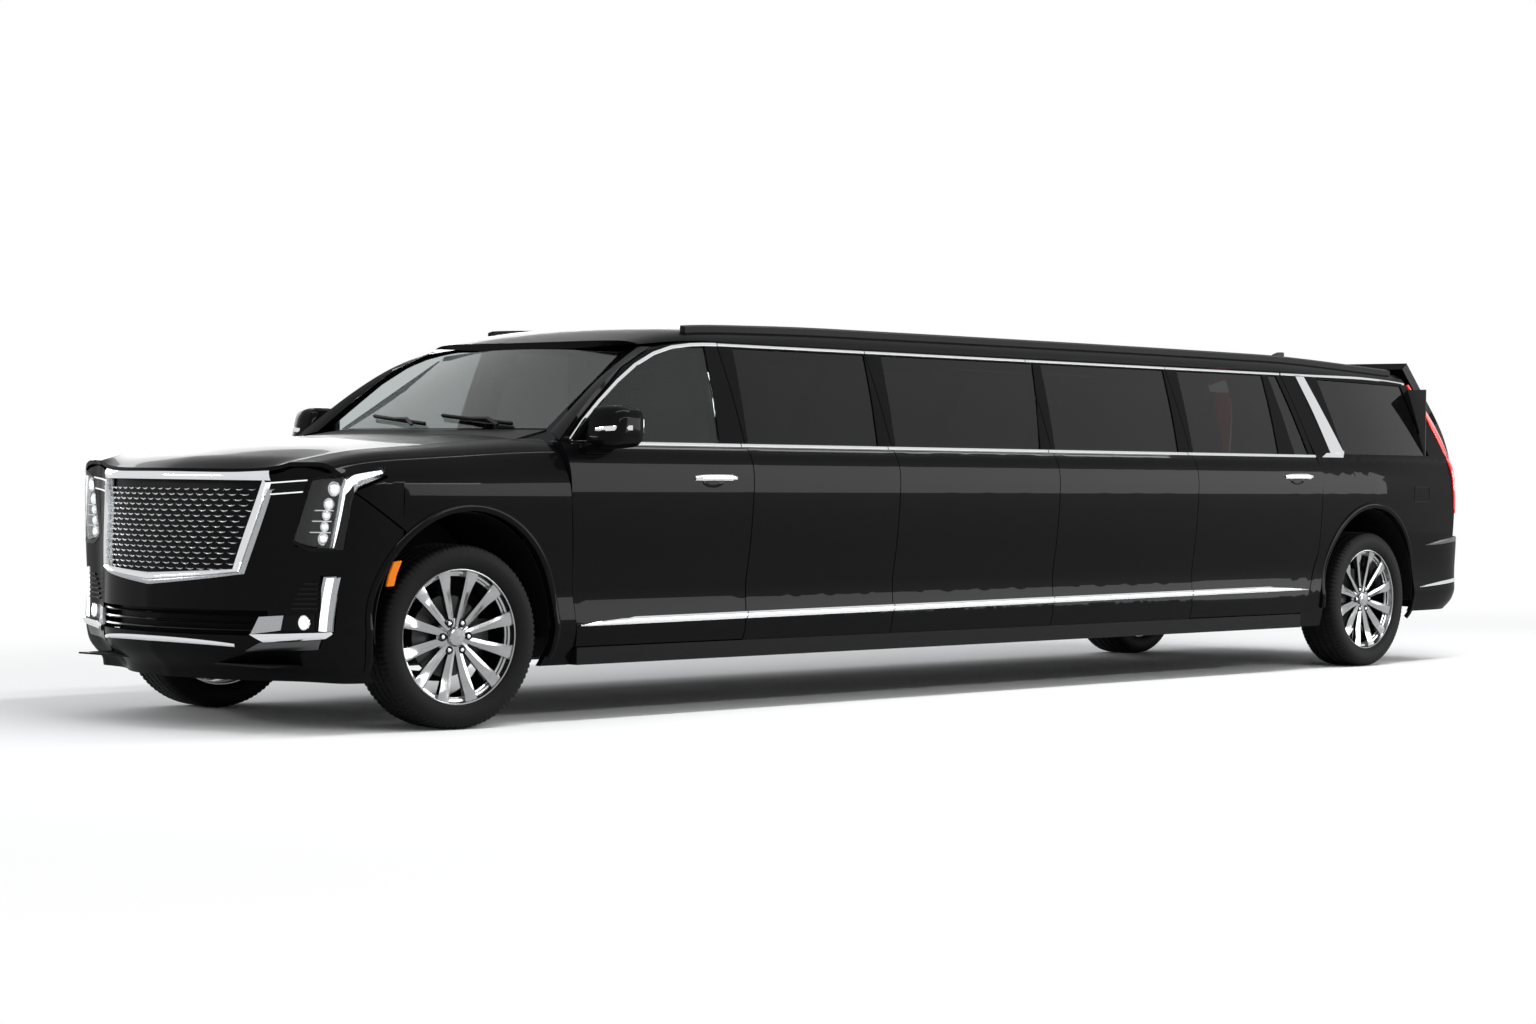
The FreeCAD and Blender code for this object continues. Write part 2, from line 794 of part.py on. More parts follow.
roof_edge_shares = [(0, -.30), (.03, -.08), (.045, .01), (.064, .02), (.1, .01), (.2, .01),
                    (.78, .01), (.8, .01), (1, -.2)]
roof_crown_shares = [(0, .22), (.04, .58), (.08, .76), (.12, .87), (.2, 1), (.8, 1), (1, .72)]
roof_half_shares = [(0, .70), (.05, .77), (.1, .777), (.8, .777), (1, .745)]
def roof_layer(lift):
    return [[roof_point(i / 30, j / 10, lift) for j in range(11)] for i in range(31)]


keep("roof_panel", feature("roof_panel", between(roof_layer(0),
                                                 roof_layer(size("skin_thickness")))))


# Quarter panels, behind the rear doors.
def quarter_skin(u, v):
    """Quarter panel: back with u from the rear door to the tail lamp, and up with v."""
    height = mix(quarter_low, cant, v)
    rise = (height - quarter_low) / (cant - quarter_low)
    first = rear_door_trail - size("overrun")
    last = size("wheelbase") + size("rear_overhang") * smooth(tail_back_shares, rise)
    back = mix(first, last, u)
    return Vector(front_axle_x + back, side_half(height) * taper(back), height)


quarter_low = sill
tail_back_shares = [(0, .80), (.33, .845), (.65, .84), (.75, .80), (.95, .60), (1, .55)]
rear_arch = arch.copy()
rear_arch.translate(Vector(size("wheelbase"), 0, 0))
quarter = panel(quarter_skin, size("fender_thickness"), 13, 15)
quarter_lead = [(back + gap, height) for back, height in trail_line]
quarter_outline = ([(quarter_lead[0][0], sill)] + quarter_lead
                   + [(rear_door_trail - size("rear_door_length") * .112 + gap, centre_top)]
                   + [(mix(rear_door_trail, size("roof_rear_back"), share),
                       roof_edge(mix(rear_door_trail, size("roof_rear_back"), share))
                       - size("seat_gap")) for share in (.1, .3, .5, .7, .9, 1)]
                   + [(size("roof_rear_back") + size("overrun"), roof_edge(size("roof_rear_back"))
                       - size("overrun") / 4),
                      (size("roof_rear_back") + 3 * size("overrun"), belt),
                      (size("roof_rear_back") + 3 * size("overrun"), size("tail_top_height")),
                      (size("wheelbase"), size("tail_top_height") * 1.07),
                      (size("wheelbase"), sill)])
quarter_window_shares = [(-.04, .03), (-.10, .93), (.52, .90), (.62, .03)]
quarter_window = [(size("wheelbase") + size("rear_overhang") * (a - .16 if a < 0 else a),
                   belt + belt_to_cant * b) for a, b in quarter_window_shares]
quarter = quarter.common(slanted(quarter_outline)).cut(rear_arch)
quarter = quarter.cut(slanted(grown(rear_door_outline, gap)))
quarter = quarter.cut(straight(quarter_window))
both_sides("quarter_panel", quarter)


# Tailgate and rear bumper.
def tail_skin(u, v):
    """Tailgate: across with u and down from the roof with v."""
    across = 2 * u - 1
    rise = 1 - v
    height = mix(size("tailgate_foot_height"), tail_roof, rise)
    back = size("wheelbase") + size("rear_overhang") * smooth(gate_back_shares, rise)
    half = half_width * smooth(gate_half_shares, rise)
    back -= gate_bow(rise) * across ** 2
    return Vector(front_axle_x + back, half * across, height)


gate_back_shares = [(0, .925), (.4, .93), (.6, .89), (.85, .775), (1, .665)]
gate_half_shares = [(0, .83), (.4, .82), (.6, .78), (.85, .70), (1, .68)]
tail_roof = roof_point(1, .5, 0).z
gate = panel(tail_skin, -size("tailgate_thickness"), 11, 11)
keep("tailgate", feature("tailgate", gate))


def rear_skin(u, v):
    """Rear bumper: round the tail in plan with u, and up with v."""
    way = abs(2 * u - 1)
    height = mix(size("tail_foot_height"), size("tail_top_height"), v)
    plan_back = smooth([(a, b) for a, b, c in rear_plan_shares], way)
    plan_half = smooth([(a, c) for a, b, c in rear_plan_shares], way)
    lean = smooth(rear_lean_shares, v)
    back = size("wheelbase") + size("rear_overhang") * (plan_back - lean)
    return Vector(front_axle_x + back, math.copysign(side_half(height) * plan_half, u - .5),
                  height)


rear_plan_shares = [(0, 1, 0), (.15, .99, .25), (.35, .955, .55), (.5, .915, .75),
                    (.62, .86, .86), (.72, .79, .91), (.85, .65, .943), (1, .40, .975)]
rear_lean_shares = [(0, .10), (.15, .03), (.5, 0), (.9, 0), (1, .012)]
rear_bumper = panel(rear_skin, -size("skin_thickness"), 21, 7, level=True).cut(rear_arch)
keep("rear_bumper", feature("rear_bumper", rear_bumper))

# Chassis: two rails with cross members, the floor and its sills.
rail_length = "wheelbase + front_overhang * 0.6 + rear_overhang * 0.6"
rail_start = FRONT_AXLE + " - front_overhang * 0.6"
rail_low = "floor_height - rail_height"
rails = []
for name, across in (("RailRight", "rail_half"), ("RailLeft", "-rail_half - rail_width")):
    rails.append(box(name, rail_length, "rail_width", "rail_height", rail_start, across,
                     rail_low))
for index, share in enumerate((.12, .3, .48, .66, .84)):
    rails.append(box(f"CrossMember{index}", "rail_width", "2 * rail_half", "rail_height / 2",
                     FRONT_AXLE + f" + wheelbase * {share}", "-rail_half", rail_low))
keep("chassis_frame", fuse("ChassisFrame", rails))

floor_start = FRONT_AXLE + " + front_door_back"
floor_length = "(wheelbase - arch_radius - front_door_back - 2 * panel_gap)"
floor_parts = [box("FloorPlate", floor_length, "2 * floor_half", "floor_thickness", floor_start,
                   "-floor_half", "floor_height"),
               box("DeckRiser", "floor_thickness", "2 * deck_half", "deck_height - floor_height",
                   floor_start + " + " + floor_length + " - floor_thickness", "-deck_half",
                   "floor_height"),
               box("RearDeck", "arch_radius + rear_overhang * 0.7", "2 * deck_half",
                   "floor_thickness", floor_start + " + " + floor_length
                   + " - floor_thickness", "-deck_half", "deck_height - floor_thickness")]
sill_start = floor_start + " + sill_setback"
sill_length = ("(front_door_length + centre_panel_one_length + centre_panel_two_length"
               " + centre_panel_three_length + rear_door_length * 0.86 - sill_setback)")
for name, inner, outer in (("Right", "floor_half", "floor_half + sill_width"),
                           ("Left", "-floor_half - sill_width", "-floor_half - 2 * sill_width")):
    floor_parts.append(box("SillInner" + name, sill_length, "sill_width",
                           "floor_height + floor_thickness - sill_height", sill_start, inner,
                           "sill_height"))
    floor_parts.append(box("SillOuter" + name, sill_length, "sill_width",
                           "door_foot_height - panel_gap - sill_height", sill_start, outer,
                           "sill_height"))
floor_parts += [
    box("FirewallPlate", "floor_thickness", "2 * deck_half",
        "hood_rear_height - floor_height - hood_thickness - 4 * panel_gap",
        floor_start + " - floor_thickness", "-deck_half", "floor_height"),
    box("CowlPlate", "front_door_back - hood_rear_back", "2 * deck_half", "floor_thickness", FRONT_AXLE + " + hood_rear_back",
        "-deck_half", "hood_rear_height - hood_thickness - 4 * panel_gap - floor_thickness")]
keep("floor_pan", fuse("FloorPan", floor_parts))
keep("engine_block", box("EngineBlock", "engine_length", "engine_width", "engine_height",
                         FRONT_AXLE + " - engine_length / 2", "-engine_width / 2",
                         "floor_height + seat_gap"))
keep("exhaust", cylinder("Exhaust", "exhaust_radius", "wheelbase + rear_overhang * 0.3",
                         FRONT_AXLE + " + front_overhang * 0.6", "rail_half * 0.6",
                         "floor_height - rail_height - exhaust_radius - seat_gap", ALONG_X))
keep("fuel_tank", box("FuelTank", "wheelbase * 0.16", "rail_half - 2 * panel_gap - shaft_radius",
                      "rail_height - 2 * panel_gap", FRONT_AXLE + " + wheelbase * 0.68",
                      "-rail_half + seat_gap", "floor_height - rail_height + panel_gap"))

# Axles. The front wheels turn on knuckles between a lower and an upper arm.
ARM_LOW = "tyre_diameter / 2 - arm_rise - panel_gap - arm_height"
ARM_HIGH = "tyre_diameter / 2 + arm_rise + panel_gap"
lower_arm = [box("AxleBeam", "arm_width", "2 * (rail_half + rail_width)",
                 "floor_height - rail_height - (" + ARM_LOW + ")", FRONT_AXLE + " - arm_width / 2",
                 "-rail_half - rail_width", ARM_LOW),
             box("LowerArms", "arm_width", "2 * kingpin_half", "arm_height",
                 FRONT_AXLE + " - arm_width / 2", "-kingpin_half", ARM_LOW)]
upper_arm = []
for name, side in (("Right", 1), ("Left", -1)):
    edge = "rail_half" if side > 0 else "-rail_half - rail_width"
    start = "rail_half" if side > 0 else "-kingpin_half"
    upper_arm.append(box("Tower" + name, "arm_width", "rail_width",
                         ARM_HIGH + " + arm_height - floor_height",
                         FRONT_AXLE + " - arm_width / 2", edge, "floor_height"))
    upper_arm.append(box("UpperArm" + name, "arm_width", "kingpin_half - rail_half",
                         "arm_height", FRONT_AXLE + " - arm_width / 2", start, ARM_HIGH))
    for level, low in (("Low", ARM_LOW), ("High", ARM_HIGH)):
        eye = cylinder("Eye" + level + name, "arm_width / 2", "arm_height", FRONT_AXLE,
                       f"{side} * kingpin_half", low)
        (lower_arm if level == "Low" else upper_arm).append(eye)
arms = fuse("Arms", lower_arm + upper_arm)
kingpin_holes = fuse("KingpinHoles", [
    cylinder("KingpinHole" + name, "pin_radius + running_gap", "tyre_diameter", FRONT_AXLE,
             f"{side} * kingpin_half", "0") for name, side in (("Right", 1), ("Left", -1))])
keep("front_axle", cut("FrontAxle", arms, kingpin_holes))

OFFSET = "(track_half - kingpin_half)"
for name, side in (("right", 1), ("left", -1)):
    inner = "-knuckle_depth / 2" if side > 0 else "-knuckle_depth / 2"
    upright = box("Upright_" + name, "knuckle_width", "knuckle_depth", "2 * arm_rise",
                  "-knuckle_width / 2", inner, "-arm_rise")
    pin = cylinder("Kingpin_" + name, "pin_radius", "2 * (arm_rise + panel_gap + arm_height)",
                   "0", "0", "-arm_rise - panel_gap - arm_height")
    stub = cylinder("Stub_" + name, "hub_bore - running_gap",
                    OFFSET + " + tyre_width * 0.12 + hub_length * 0.8", "0", "0", "0",
                    ALONG_Y if side > 0 else ALONG_Y.inverted())
    caliper = box("Caliper_" + name, "knuckle_width * 0.9", OFFSET + " + knuckle_depth / 2",
                  "disc_radius * 0.7", "disc_radius * 0.75",
                  "-knuckle_depth / 2" if side > 0 else "-" + OFFSET, "-disc_radius * 0.35")
    bracket = box("CaliperBracket_" + name, "disc_radius * 0.76", "knuckle_depth / 2",
                  "disc_radius * 0.5", "0",
                  "-knuckle_depth / 2" if side > 0 else "0", "-disc_radius * 0.25")
    knuckle = fuse("Knuckle_" + name, [upright, pin, stub, caliper, bracket])
    knuckle.Placement = Placement(Vector(), Rotation(Vector(0, 0, 1), -size("rest_steer")))
    place(knuckle, FRONT_AXLE, f"{side} * kingpin_half", "tyre_diameter / 2")
    keep("knuckle_" + name, knuckle)

AXLE_END = "(track_half + tyre_width * 0.12 - disc_thickness - panel_gap)"
axle_parts = [cylinder("AxleTube", "axle_tube_radius", "2 * " + AXLE_END, REAR_AXLE,
                       "-" + AXLE_END, "tyre_diameter / 2", ALONG_Y),
              cylinder("AxleShaft", "hub_bore - running_gap",
                       "2 * (track_half + tyre_width * 0.12 + hub_length * 0.8)", REAR_AXLE,
                       "-(track_half + tyre_width * 0.12 + hub_length * 0.8)",
                       "tyre_diameter / 2", ALONG_Y),
              cylinder("Differential", "differential_radius", "differential_radius * 1.4",
                       REAR_AXLE, "-differential_radius * 0.7", "tyre_diameter / 2", ALONG_Y)]
for name, side in (("Right", 1), ("Left", -1)):
    edge = "rail_half" if side > 0 else "-rail_half - rail_width"
    axle_parts.append(box("AxleSeat" + name, "2 * axle_tube_radius", "rail_width",
                          "tyre_diameter / 2 - floor_height", REAR_AXLE + " - axle_tube_radius",
                          edge, "floor_height"))
axle_parts.append(cylinder("PropShaft", "shaft_radius",
                            "wheelbase - engine_length / 2 - differential_radius / 2",
                            FRONT_AXLE + " + engine_length / 2 + seat_gap", "0",
                            "floor_height - rail_height / 2 + shaft_radius + seat_gap", ALONG_X))
keep("rear_axle", fuse("RearAxle", axle_parts))

# Wheels: tyre and rim are turned about their own axle, which lies along y.
def sketch_on(body, role, name):
    """A sketch on one of a body's own origin planes."""
    sketch = body.newObject("Sketcher::SketchObject", name)
    for plane in body.Origin.OriginFeatures:
        if plane.Role == role:
            sketch.AttachmentSupport = (plane, "")
    sketch.MapMode = "FlatFace"
    return sketch


def outline_sketch(body, role, name, points):
    """A closed outline of straight lines through (across, up) expressions of the sheet."""
    sketch = sketch_on(body, role, name)
    values = [(evaluate(across), evaluate(up)) for across, up in points]
    count = len(values)
    for index in range(count):
        (x0, y0), (x1, y1) = values[index], values[(index + 1) % count]
        sketch.addGeometry(Part.LineSegment(Vector(x0, y0, 0), Vector(x1, y1, 0)), False)
    for index in range(count):
        sketch.addConstraint(Sketcher.Constraint("Coincident", index, 2, (index + 1) % count, 1))
    for index, (across, up) in enumerate(points):
        for kind, text in (("DistanceX", across), ("DistanceY", up)):
            value = evaluate(text)
            if value == 0:
                on_axis = -2 if kind == "DistanceX" else -1
                sketch.addConstraint(Sketcher.Constraint("PointOnObject", index, 1, on_axis))
                continue
            number = sketch.addConstraint(Sketcher.Constraint(kind, -1, 1, index, 1, value))
            bind(sketch, f"Constraints[{number}]", text)
    return sketch


def evaluate(text):
    """The value of an expression of cells, as the sheet gives it."""
    if text not in worked_out:
        bind(probe, ".Placement.Base.x", text)
        probe.recompute()
        worked_out[text] = probe.Placement.Base.x
    return worked_out[text]


probe = doc.addObject("Part::Box", "Probe")
worked_out = {}


def turned(body, name, sketch):
    """A revolution of a sketch about the vertical axis of its plane."""
    item = body.newObject("PartDesign::Revolution", name)
    item.Profile = sketch
    item.ReferenceAxis = (sketch, ["V_Axis"])
    item.Angle = 360
    return item


TYRE = "tyre_diameter / 2"
RIM = "rim_diameter / 2"
HALF_TREAD = "tyre_width / 2"
tyre_outline = [(RIM + " + seat_gap", "-tyre_width * 0.42"),
                ("tyre_diameter * 0.44", "-tyre_width * 0.5"),
                ("tyre_diameter * 0.482", "-tyre_width * 0.455"),
                (TYRE, "-tyre_width * 0.32"), (TYRE, "tyre_width * 0.32"),
                ("tyre_diameter * 0.482", "tyre_width * 0.455"),
                ("tyre_diameter * 0.44", "tyre_width * 0.5"),
                (RIM + " + seat_gap", "tyre_width * 0.42")]
barrel_outline = [(RIM, "-tyre_width * 0.42"), (RIM, "tyre_width * 0.42"),
                  (RIM + " - rim_wall * 2", "tyre_width * 0.42"),
                  (RIM + " - rim_wall * 2", "-tyre_width * 0.42")]
hub_outline = [("hub_bore", "tyre_width * 0.12"), ("hub_radius", "tyre_width * 0.12"),
               ("hub_radius", "tyre_width * 0.12 + hub_length"),
               ("hub_bore", "tyre_width * 0.12 + hub_length")]


def rim_body(name):
    """A rim: barrel and hub turned, and one spoke padded and repeated round the axle."""
    body = doc.addObject("PartDesign::Body", name)
    first = turned(body, "Barrel", outline_sketch(body, "XY_Plane", "BarrelOutline",
                                                  barrel_outline))
    hub = turned(body, "Hub", outline_sketch(body, "XY_Plane", "HubOutline", hub_outline))
    spoke = outline_sketch(body, "XY_Plane", "SpokeOutline",
                           [("hub_radius * 0.8", "tyre_width * 0.12 + hub_length * 0.3"),
                            (RIM + " - rim_wall * 1.6", "tyre_width * 0.38 - spoke_thickness"),
                            (RIM + " - rim_wall * 1.6", "tyre_width * 0.38"),
                            ("hub_radius * 0.8", "tyre_width * 0.12 + hub_length * 0.95")])
    pad = body.newObject("PartDesign::Pad", "Spoke")
    pad.Profile = spoke
    pad.Midplane = True
    bind(pad, "Length", "spoke_width")
    doc.recompute()
    ring = body.newObject("PartDesign::PolarPattern", "Spokes")
    ring.Originals = [pad]
    ring.Axis = (spoke, ["V_Axis"])
    ring.Angle = 360
    ring.Occurrences = 12
    body.Tip = ring
    return body


def tyre_body(name):
    body = doc.addObject("PartDesign::Body", name)
    turned(body, "Section", outline_sketch(body, "XY_Plane", "TyreOutline", tyre_outline))
    return body


CORNERS = (("front_right", FRONT_AXLE, 1, 1), ("front_left", FRONT_AXLE, -1, 1),
           ("rear_right", REAR_AXLE, 1, 0), ("rear_left", REAR_AXLE, -1, 0))
for corner, axle, side, steered in CORNERS:
    facing = Rotation(Vector(0, 0, 1), 0 if side > 0 else 180)
    swing = Rotation(Vector(0, 0, 1), -size("rest_steer") * steered)
    for kind, maker in (("rim", rim_body), ("tyre", tyre_body)):
        wheel = maker(kind + "_" + corner + "_body")
        wheel.Placement = Placement(Vector(), swing.multiply(facing))
        offset = "(track_half - kingpin_half)"
        out = f"{side} * (kingpin_half + {offset} * cos(rest_steer * 1deg))"
        along = f" + {side} * {offset} * sin(rest_steer * 1deg)"
        if not steered:
            out, along = f"{side} * track_half", ""
        place(wheel, axle + along, out, TYRE)
        keep(kind + "_" + corner, wheel)
# Fixed panes of the side: three centre windows and the quarter window.
def quarter_pane_skin(u, v):
    return set_in(quarter_skin, u, v, size("pane_recess"))


centre_panes = glass_shape(centre_windows, seam_one, seam_four)
quarter_pane = panel(quarter_pane_skin, size("pane_thickness"), 9, 13)
quarter_pane = quarter_pane.common(straight(quarter_window))
pair("side_windows", Part.makeCompound(centre_panes + quarter_pane.Solids))


# Tail lamps fill the upright strip between quarter panel and tailgate.
def lamp_skin(u, v):
    height = mix(size("tail_top_height") * lamp_foot_share, size("belt_height") * lamp_top_share, v)
    rise = (height - quarter_low) / (cant - quarter_low)
    side_point = quarter_skin(1, rise)
    gate_rise = (height - size("tailgate_foot_height")) / (tail_roof
                                                           - size("tailgate_foot_height"))
    gate_point = tail_skin(1, 1 - gate_rise)
    clear = Vector(2 * size("panel_gap"), 0, 0)
    middle = (side_point + gate_point) / 2 + Vector(size("lamp_half_width") * .3,
                                                     size("lamp_half_width") * .3, 0)
    near = side_point + clear
    far = gate_point + Vector(0, 1.5 * size("panel_gap"), 0)
    return near * (1 - u) ** 2 + middle * 2 * u * (1 - u) + far * u ** 2


lamp_foot_share, lamp_top_share = 1.2, 1.34
pair("tail_lamps", panel(lamp_skin, size("skin_thickness") * .35, 5, 9))


# Tailgate window.
def gate_window(reach):
    points = [(-size("deck_half") - reach, belt), (size("deck_half") + reach, belt),
              (size("deck_half") * .86 + reach, window_top), (-size("deck_half") * .86 - reach,
                                                             window_top)]
    start = rear_axle_x
    outline = [Vector(start, half, height + (reach if height > belt else -reach))
               for half, height in points]
    return prism(outline, Vector(size("rear_overhang") + size("overrun"), 0, 0))


made["tailgate"].Shape = gate.cut(gate_window(0))
gate_pane = panel(lambda u, v: set_in(tail_skin, u, v, -size("pane_recess")),
                  -size("pane_thickness"), 9, 9)
gate_pane = gate_pane.common(gate_window(-size("seat_gap")))
keep("tailgate_glass", feature("tailgate_glass", gate_pane))


# Roof rails: strips of a layer that lies over the roof. The fin stands near its tail.
def roof_grid(lift):
    rise = Vector(0, 0, lift)
    return [[point + rise for point in line] for line in roof_layer(0)]


rail_shares = (.06, .985)
rail_start = front_axle_x + mix(size("roof_front_back"), size("roof_rear_back"), rail_shares[0])
rail_end = front_axle_x + mix(size("roof_front_back"), size("roof_rear_back"), rail_shares[1])
rail_strip = Part.makeBox(rail_end - rail_start, size("roof_rail_width"), size("roof_height"),
                          Vector(rail_start, size("roof_rail_half")
                                 - size("roof_rail_width") / 2, belt))
rail_layer = between(roof_grid(size("roof_rail_height")), roof_grid(size("seat_gap")))
pair("roof_rails", rail_layer.common(rail_strip))
fin_start = FRONT_AXLE + " + wheelbase + rear_overhang * 0.27"
fin_points = [(0, -.06), (0, .10), (.55, .75), (.85, 1), (1, .95), (1, -.06)]
fin_outline = [(evaluate(fin_start) + size("fin_length") * a,
                size("roof_height") + size("fin_height") * b) for a, b in fin_points]
fin_way = (fin_outline[0][0] - front_axle_x - size("roof_front_back")) / (
    size("roof_rear_back") - size("roof_front_back"))
fin = prism([Vector(a, -size("fin_width") / 2, b) for a, b in fin_outline],
            Vector(0, size("fin_width"), 0))
made["roof_panel"].Shape = made["roof_panel"].Shape.fuse(fin)

# Door handles and mirrors.
handle_places = (("front", front_door_lead + size("front_door_length") * .69, 1138),
                 ("rear", seam_four + size("rear_door_length") * .705, 1170))
handle_rise_shares = {"front": .808, "rear": .842}
for name, back, unused in handle_places:
    height = mix(sill, belt, handle_rise_shares[name] + .035)
    reach = size("handle_reach")
    start = front_axle_x + back
    skin_at = side_half(height - size("handle_width") / 2)
    bar = Part.makeBox(size("handle_length"), reach / 2, size("handle_width"),
                       Vector(start, half_width + reach / 2, height - size("handle_width") / 2))
    handle_parts = [bar]
    for share in (.03, .82):
        foot_length = size("handle_length") * .15
        handle_parts.append(Part.makeBox(
            foot_length, half_width + reach - skin_at - size("seat_gap") * 2,
            size("handle_width") * .8,
            Vector(start + size("handle_length") * share,
                   half_width + size("seat_gap"), height - size("handle_width") * .4)))
    handle = handle_parts[0].multiFuse(handle_parts[1:]).removeSplitter()
    both_sides(name + "_handle", handle)

mirror_low = size("mirror_base_height")
mirror_box = Part.makeBox(size("mirror_length"), size("mirror_width"), size("mirror_height"),
                          Vector(front_axle_x + size("mirror_back"), half_width - 3 * gap,
                                 mirror_low))
mirror_foot = Part.makeBox(size("mirror_length") * .4, size("mirror_width") * .4,
                           size("mirror_height") * .4,
                           Vector(front_axle_x + size("mirror_back") + size("mirror_length") * .2,
                                  side_half(mirror_low - size("mirror_height") * .3),
                                  mirror_low - size("mirror_height") * .3))
mirror_edges = [edge for edge in mirror_box.Edges if abs(edge.tangentAt(0).x) > .9]
mirror = mirror_box.makeFillet(size("mirror_height") * .25, mirror_edges).fuse(mirror_foot)
mirror = mirror.cut(made["front_door_right"].Shape).Solids
mirror = sorted(mirror, key=lambda solid: solid.Volume)[-1]
both_sides("mirror", mirror)

# Cabin.
FLOOR_TOP = "floor_height + floor_thickness"


def chair(name, across):
    """A front chair: seat, back and head rest in one solid."""
    left = f"{across} - seat_width / 2"
    back = FRONT_AXLE + " + front_seat_back"
    return fuse(name, [
        box(name + "Seat", "seat_depth", "seat_width", "cushion_base_height - floor_height"
            " - floor_thickness + cushion_height", back, left, FLOOR_TOP),
        box(name + "Back", "seat_depth * 0.3", "seat_width", "seat_back_height",
            back + " + seat_depth * 0.85", left, "cushion_base_height"),
        box(name + "Rest", "seat_depth * 0.22", "head_rest_width", "head_rest_height + 2 * gap_over",
            back + " + seat_depth * 0.89", f"{across} - head_rest_width / 2",
            "cushion_base_height + seat_back_height - 2 * gap_over")])


chairs = [chair("ChairRight", "front_seat_half"), chair("ChairLeft", "-front_seat_half")]
keep("front_seats", fuse("FrontSeats", chairs))
keep("partition", box("Partition", "partition_thickness", "2 * deck_half",
                      "cant_height - 2 * panel_gap - floor_height - floor_thickness",
                      FRONT_AXLE + " + partition_back", "-deck_half", FLOOR_TOP))
bench_start = FRONT_AXLE + " + partition_back + partition_thickness + seat_gap"
bench_length = "wheelbase * 0.42"
bench_low = "cushion_base_height + cushion_height - floor_height - floor_thickness"
keep("side_bench", fuse("SideBench", [
    box("SideSeat", bench_length, "bench_depth", bench_low, bench_start,
        "-body_width / 2 + wall_thickness + 3 * panel_gap", FLOOR_TOP),
    box("SideBack", bench_length, "bench_back_thickness", "seat_back_height",
        bench_start, "-body_width / 2 + wall_thickness + 3 * panel_gap",
        "cushion_base_height")]))
rear_start = FRONT_AXLE + " + wheelbase - arch_radius - bench_depth - floor_thickness - 3 * panel_gap"
keep("rear_bench", fuse("RearBench", [
    box("RearSeat", "bench_depth", "2 * deck_half", bench_low, rear_start, "-deck_half",
        FLOOR_TOP),
    box("RearBack", "bench_back_thickness", "2 * deck_half", "seat_back_height",
        rear_start + " + bench_depth - bench_back_thickness", "-deck_half",
        "cushion_base_height")]))
keep("bar_cabinet", box("BarCabinet", "wheelbase * 0.3", "bar_depth", "bar_height",
                        bench_start, "body_width / 2 - wall_thickness - 3 * panel_gap - bar_depth",
                        FLOOR_TOP))
keep("dashboard", box("Dashboard", "dashboard_depth", "2 * deck_half", "dashboard_height",
                      FRONT_AXLE + " + front_door_back + seat_gap", "-deck_half",
                      "hood_rear_height - dashboard_height - 6 * panel_gap"))
grip = doc.addObject("Part::RegularPolygon", "Grip")
grip.Polygon = 8
grip.Placement = Placement(Vector(), Rotation(Vector(1, 0, 0), 90))
bind(grip, "Circumradius", "steering_wheel_grip")
bind(grip, ".Placement.Base.x", "steering_wheel_radius")
wheel_ring = doc.addObject("Part::Revolution", "WheelRing")
wheel_ring.Source = grip
wheel_ring.Axis = Vector(0, 0, 1)
wheel_ring.Angle = 360
wheel_ring.Solid = True
column = doc.addObject("Part::Cylinder", "Column")
bind(column, "Radius", "steering_wheel_grip * 1.6")
bind(column, "Height", "dashboard_depth")
wheel_hub = doc.addObject("Part::Cylinder", "WheelHub")
bind(wheel_hub, "Radius", "steering_wheel_radius * 0.3")
bind(wheel_hub, "Height", "steering_wheel_grip * 2")
wheel_bar = doc.addObject("Part::Box", "WheelBar")
bind(wheel_bar, "Length", "steering_wheel_grip")
bind(wheel_bar, "Width", "2 * steering_wheel_radius")
bind(wheel_bar, "Height", "steering_wheel_grip")
place(wheel_bar, "-steering_wheel_grip / 2", "-steering_wheel_radius",
      "-steering_wheel_grip / 2")
bind(wheel_hub, ".Placement.Base.z", "-steering_wheel_grip")
steering = fuse("SteeringWheel", [wheel_ring, column, wheel_hub, wheel_bar])
steering.Placement = Placement(Vector(), Rotation(Vector(0, 1, 0), -65))
place(steering, FRONT_AXLE + " + front_door_back + dashboard_depth * 1.75 + seat_gap",
      "-front_seat_half", "hood_rear_height - dashboard_height * 0.9")
steering_cut = cut("SteeringCut", steering, made["dashboard"])
keep("steering_wheel", steering_cut)
doc.recompute()


def report_faults():
    bad = []
    for item in doc.Objects:
        if "Invalid" in item.State or "Error" in item.State:
            bad.append(item.Name + " state")
    for node, item in made.items():
        if item.Shape.isNull() or not item.Shape.isValid():
            bad.append(node + " shape")
    return bad


doc.recompute()
faults = report_faults()
if faults:
    raise RuntimeError("faulty objects: " + ", ".join(faults))
for node, item in made.items():
    item.Shape.exportStep("parts/" + node + ".step")
    print(node, round(item.Shape.Volume / 1e6, 2), len(item.Shape.Solids))
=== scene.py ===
import json
import math

import bmesh
import bpy
import numpy as np
from mathutils import Matrix


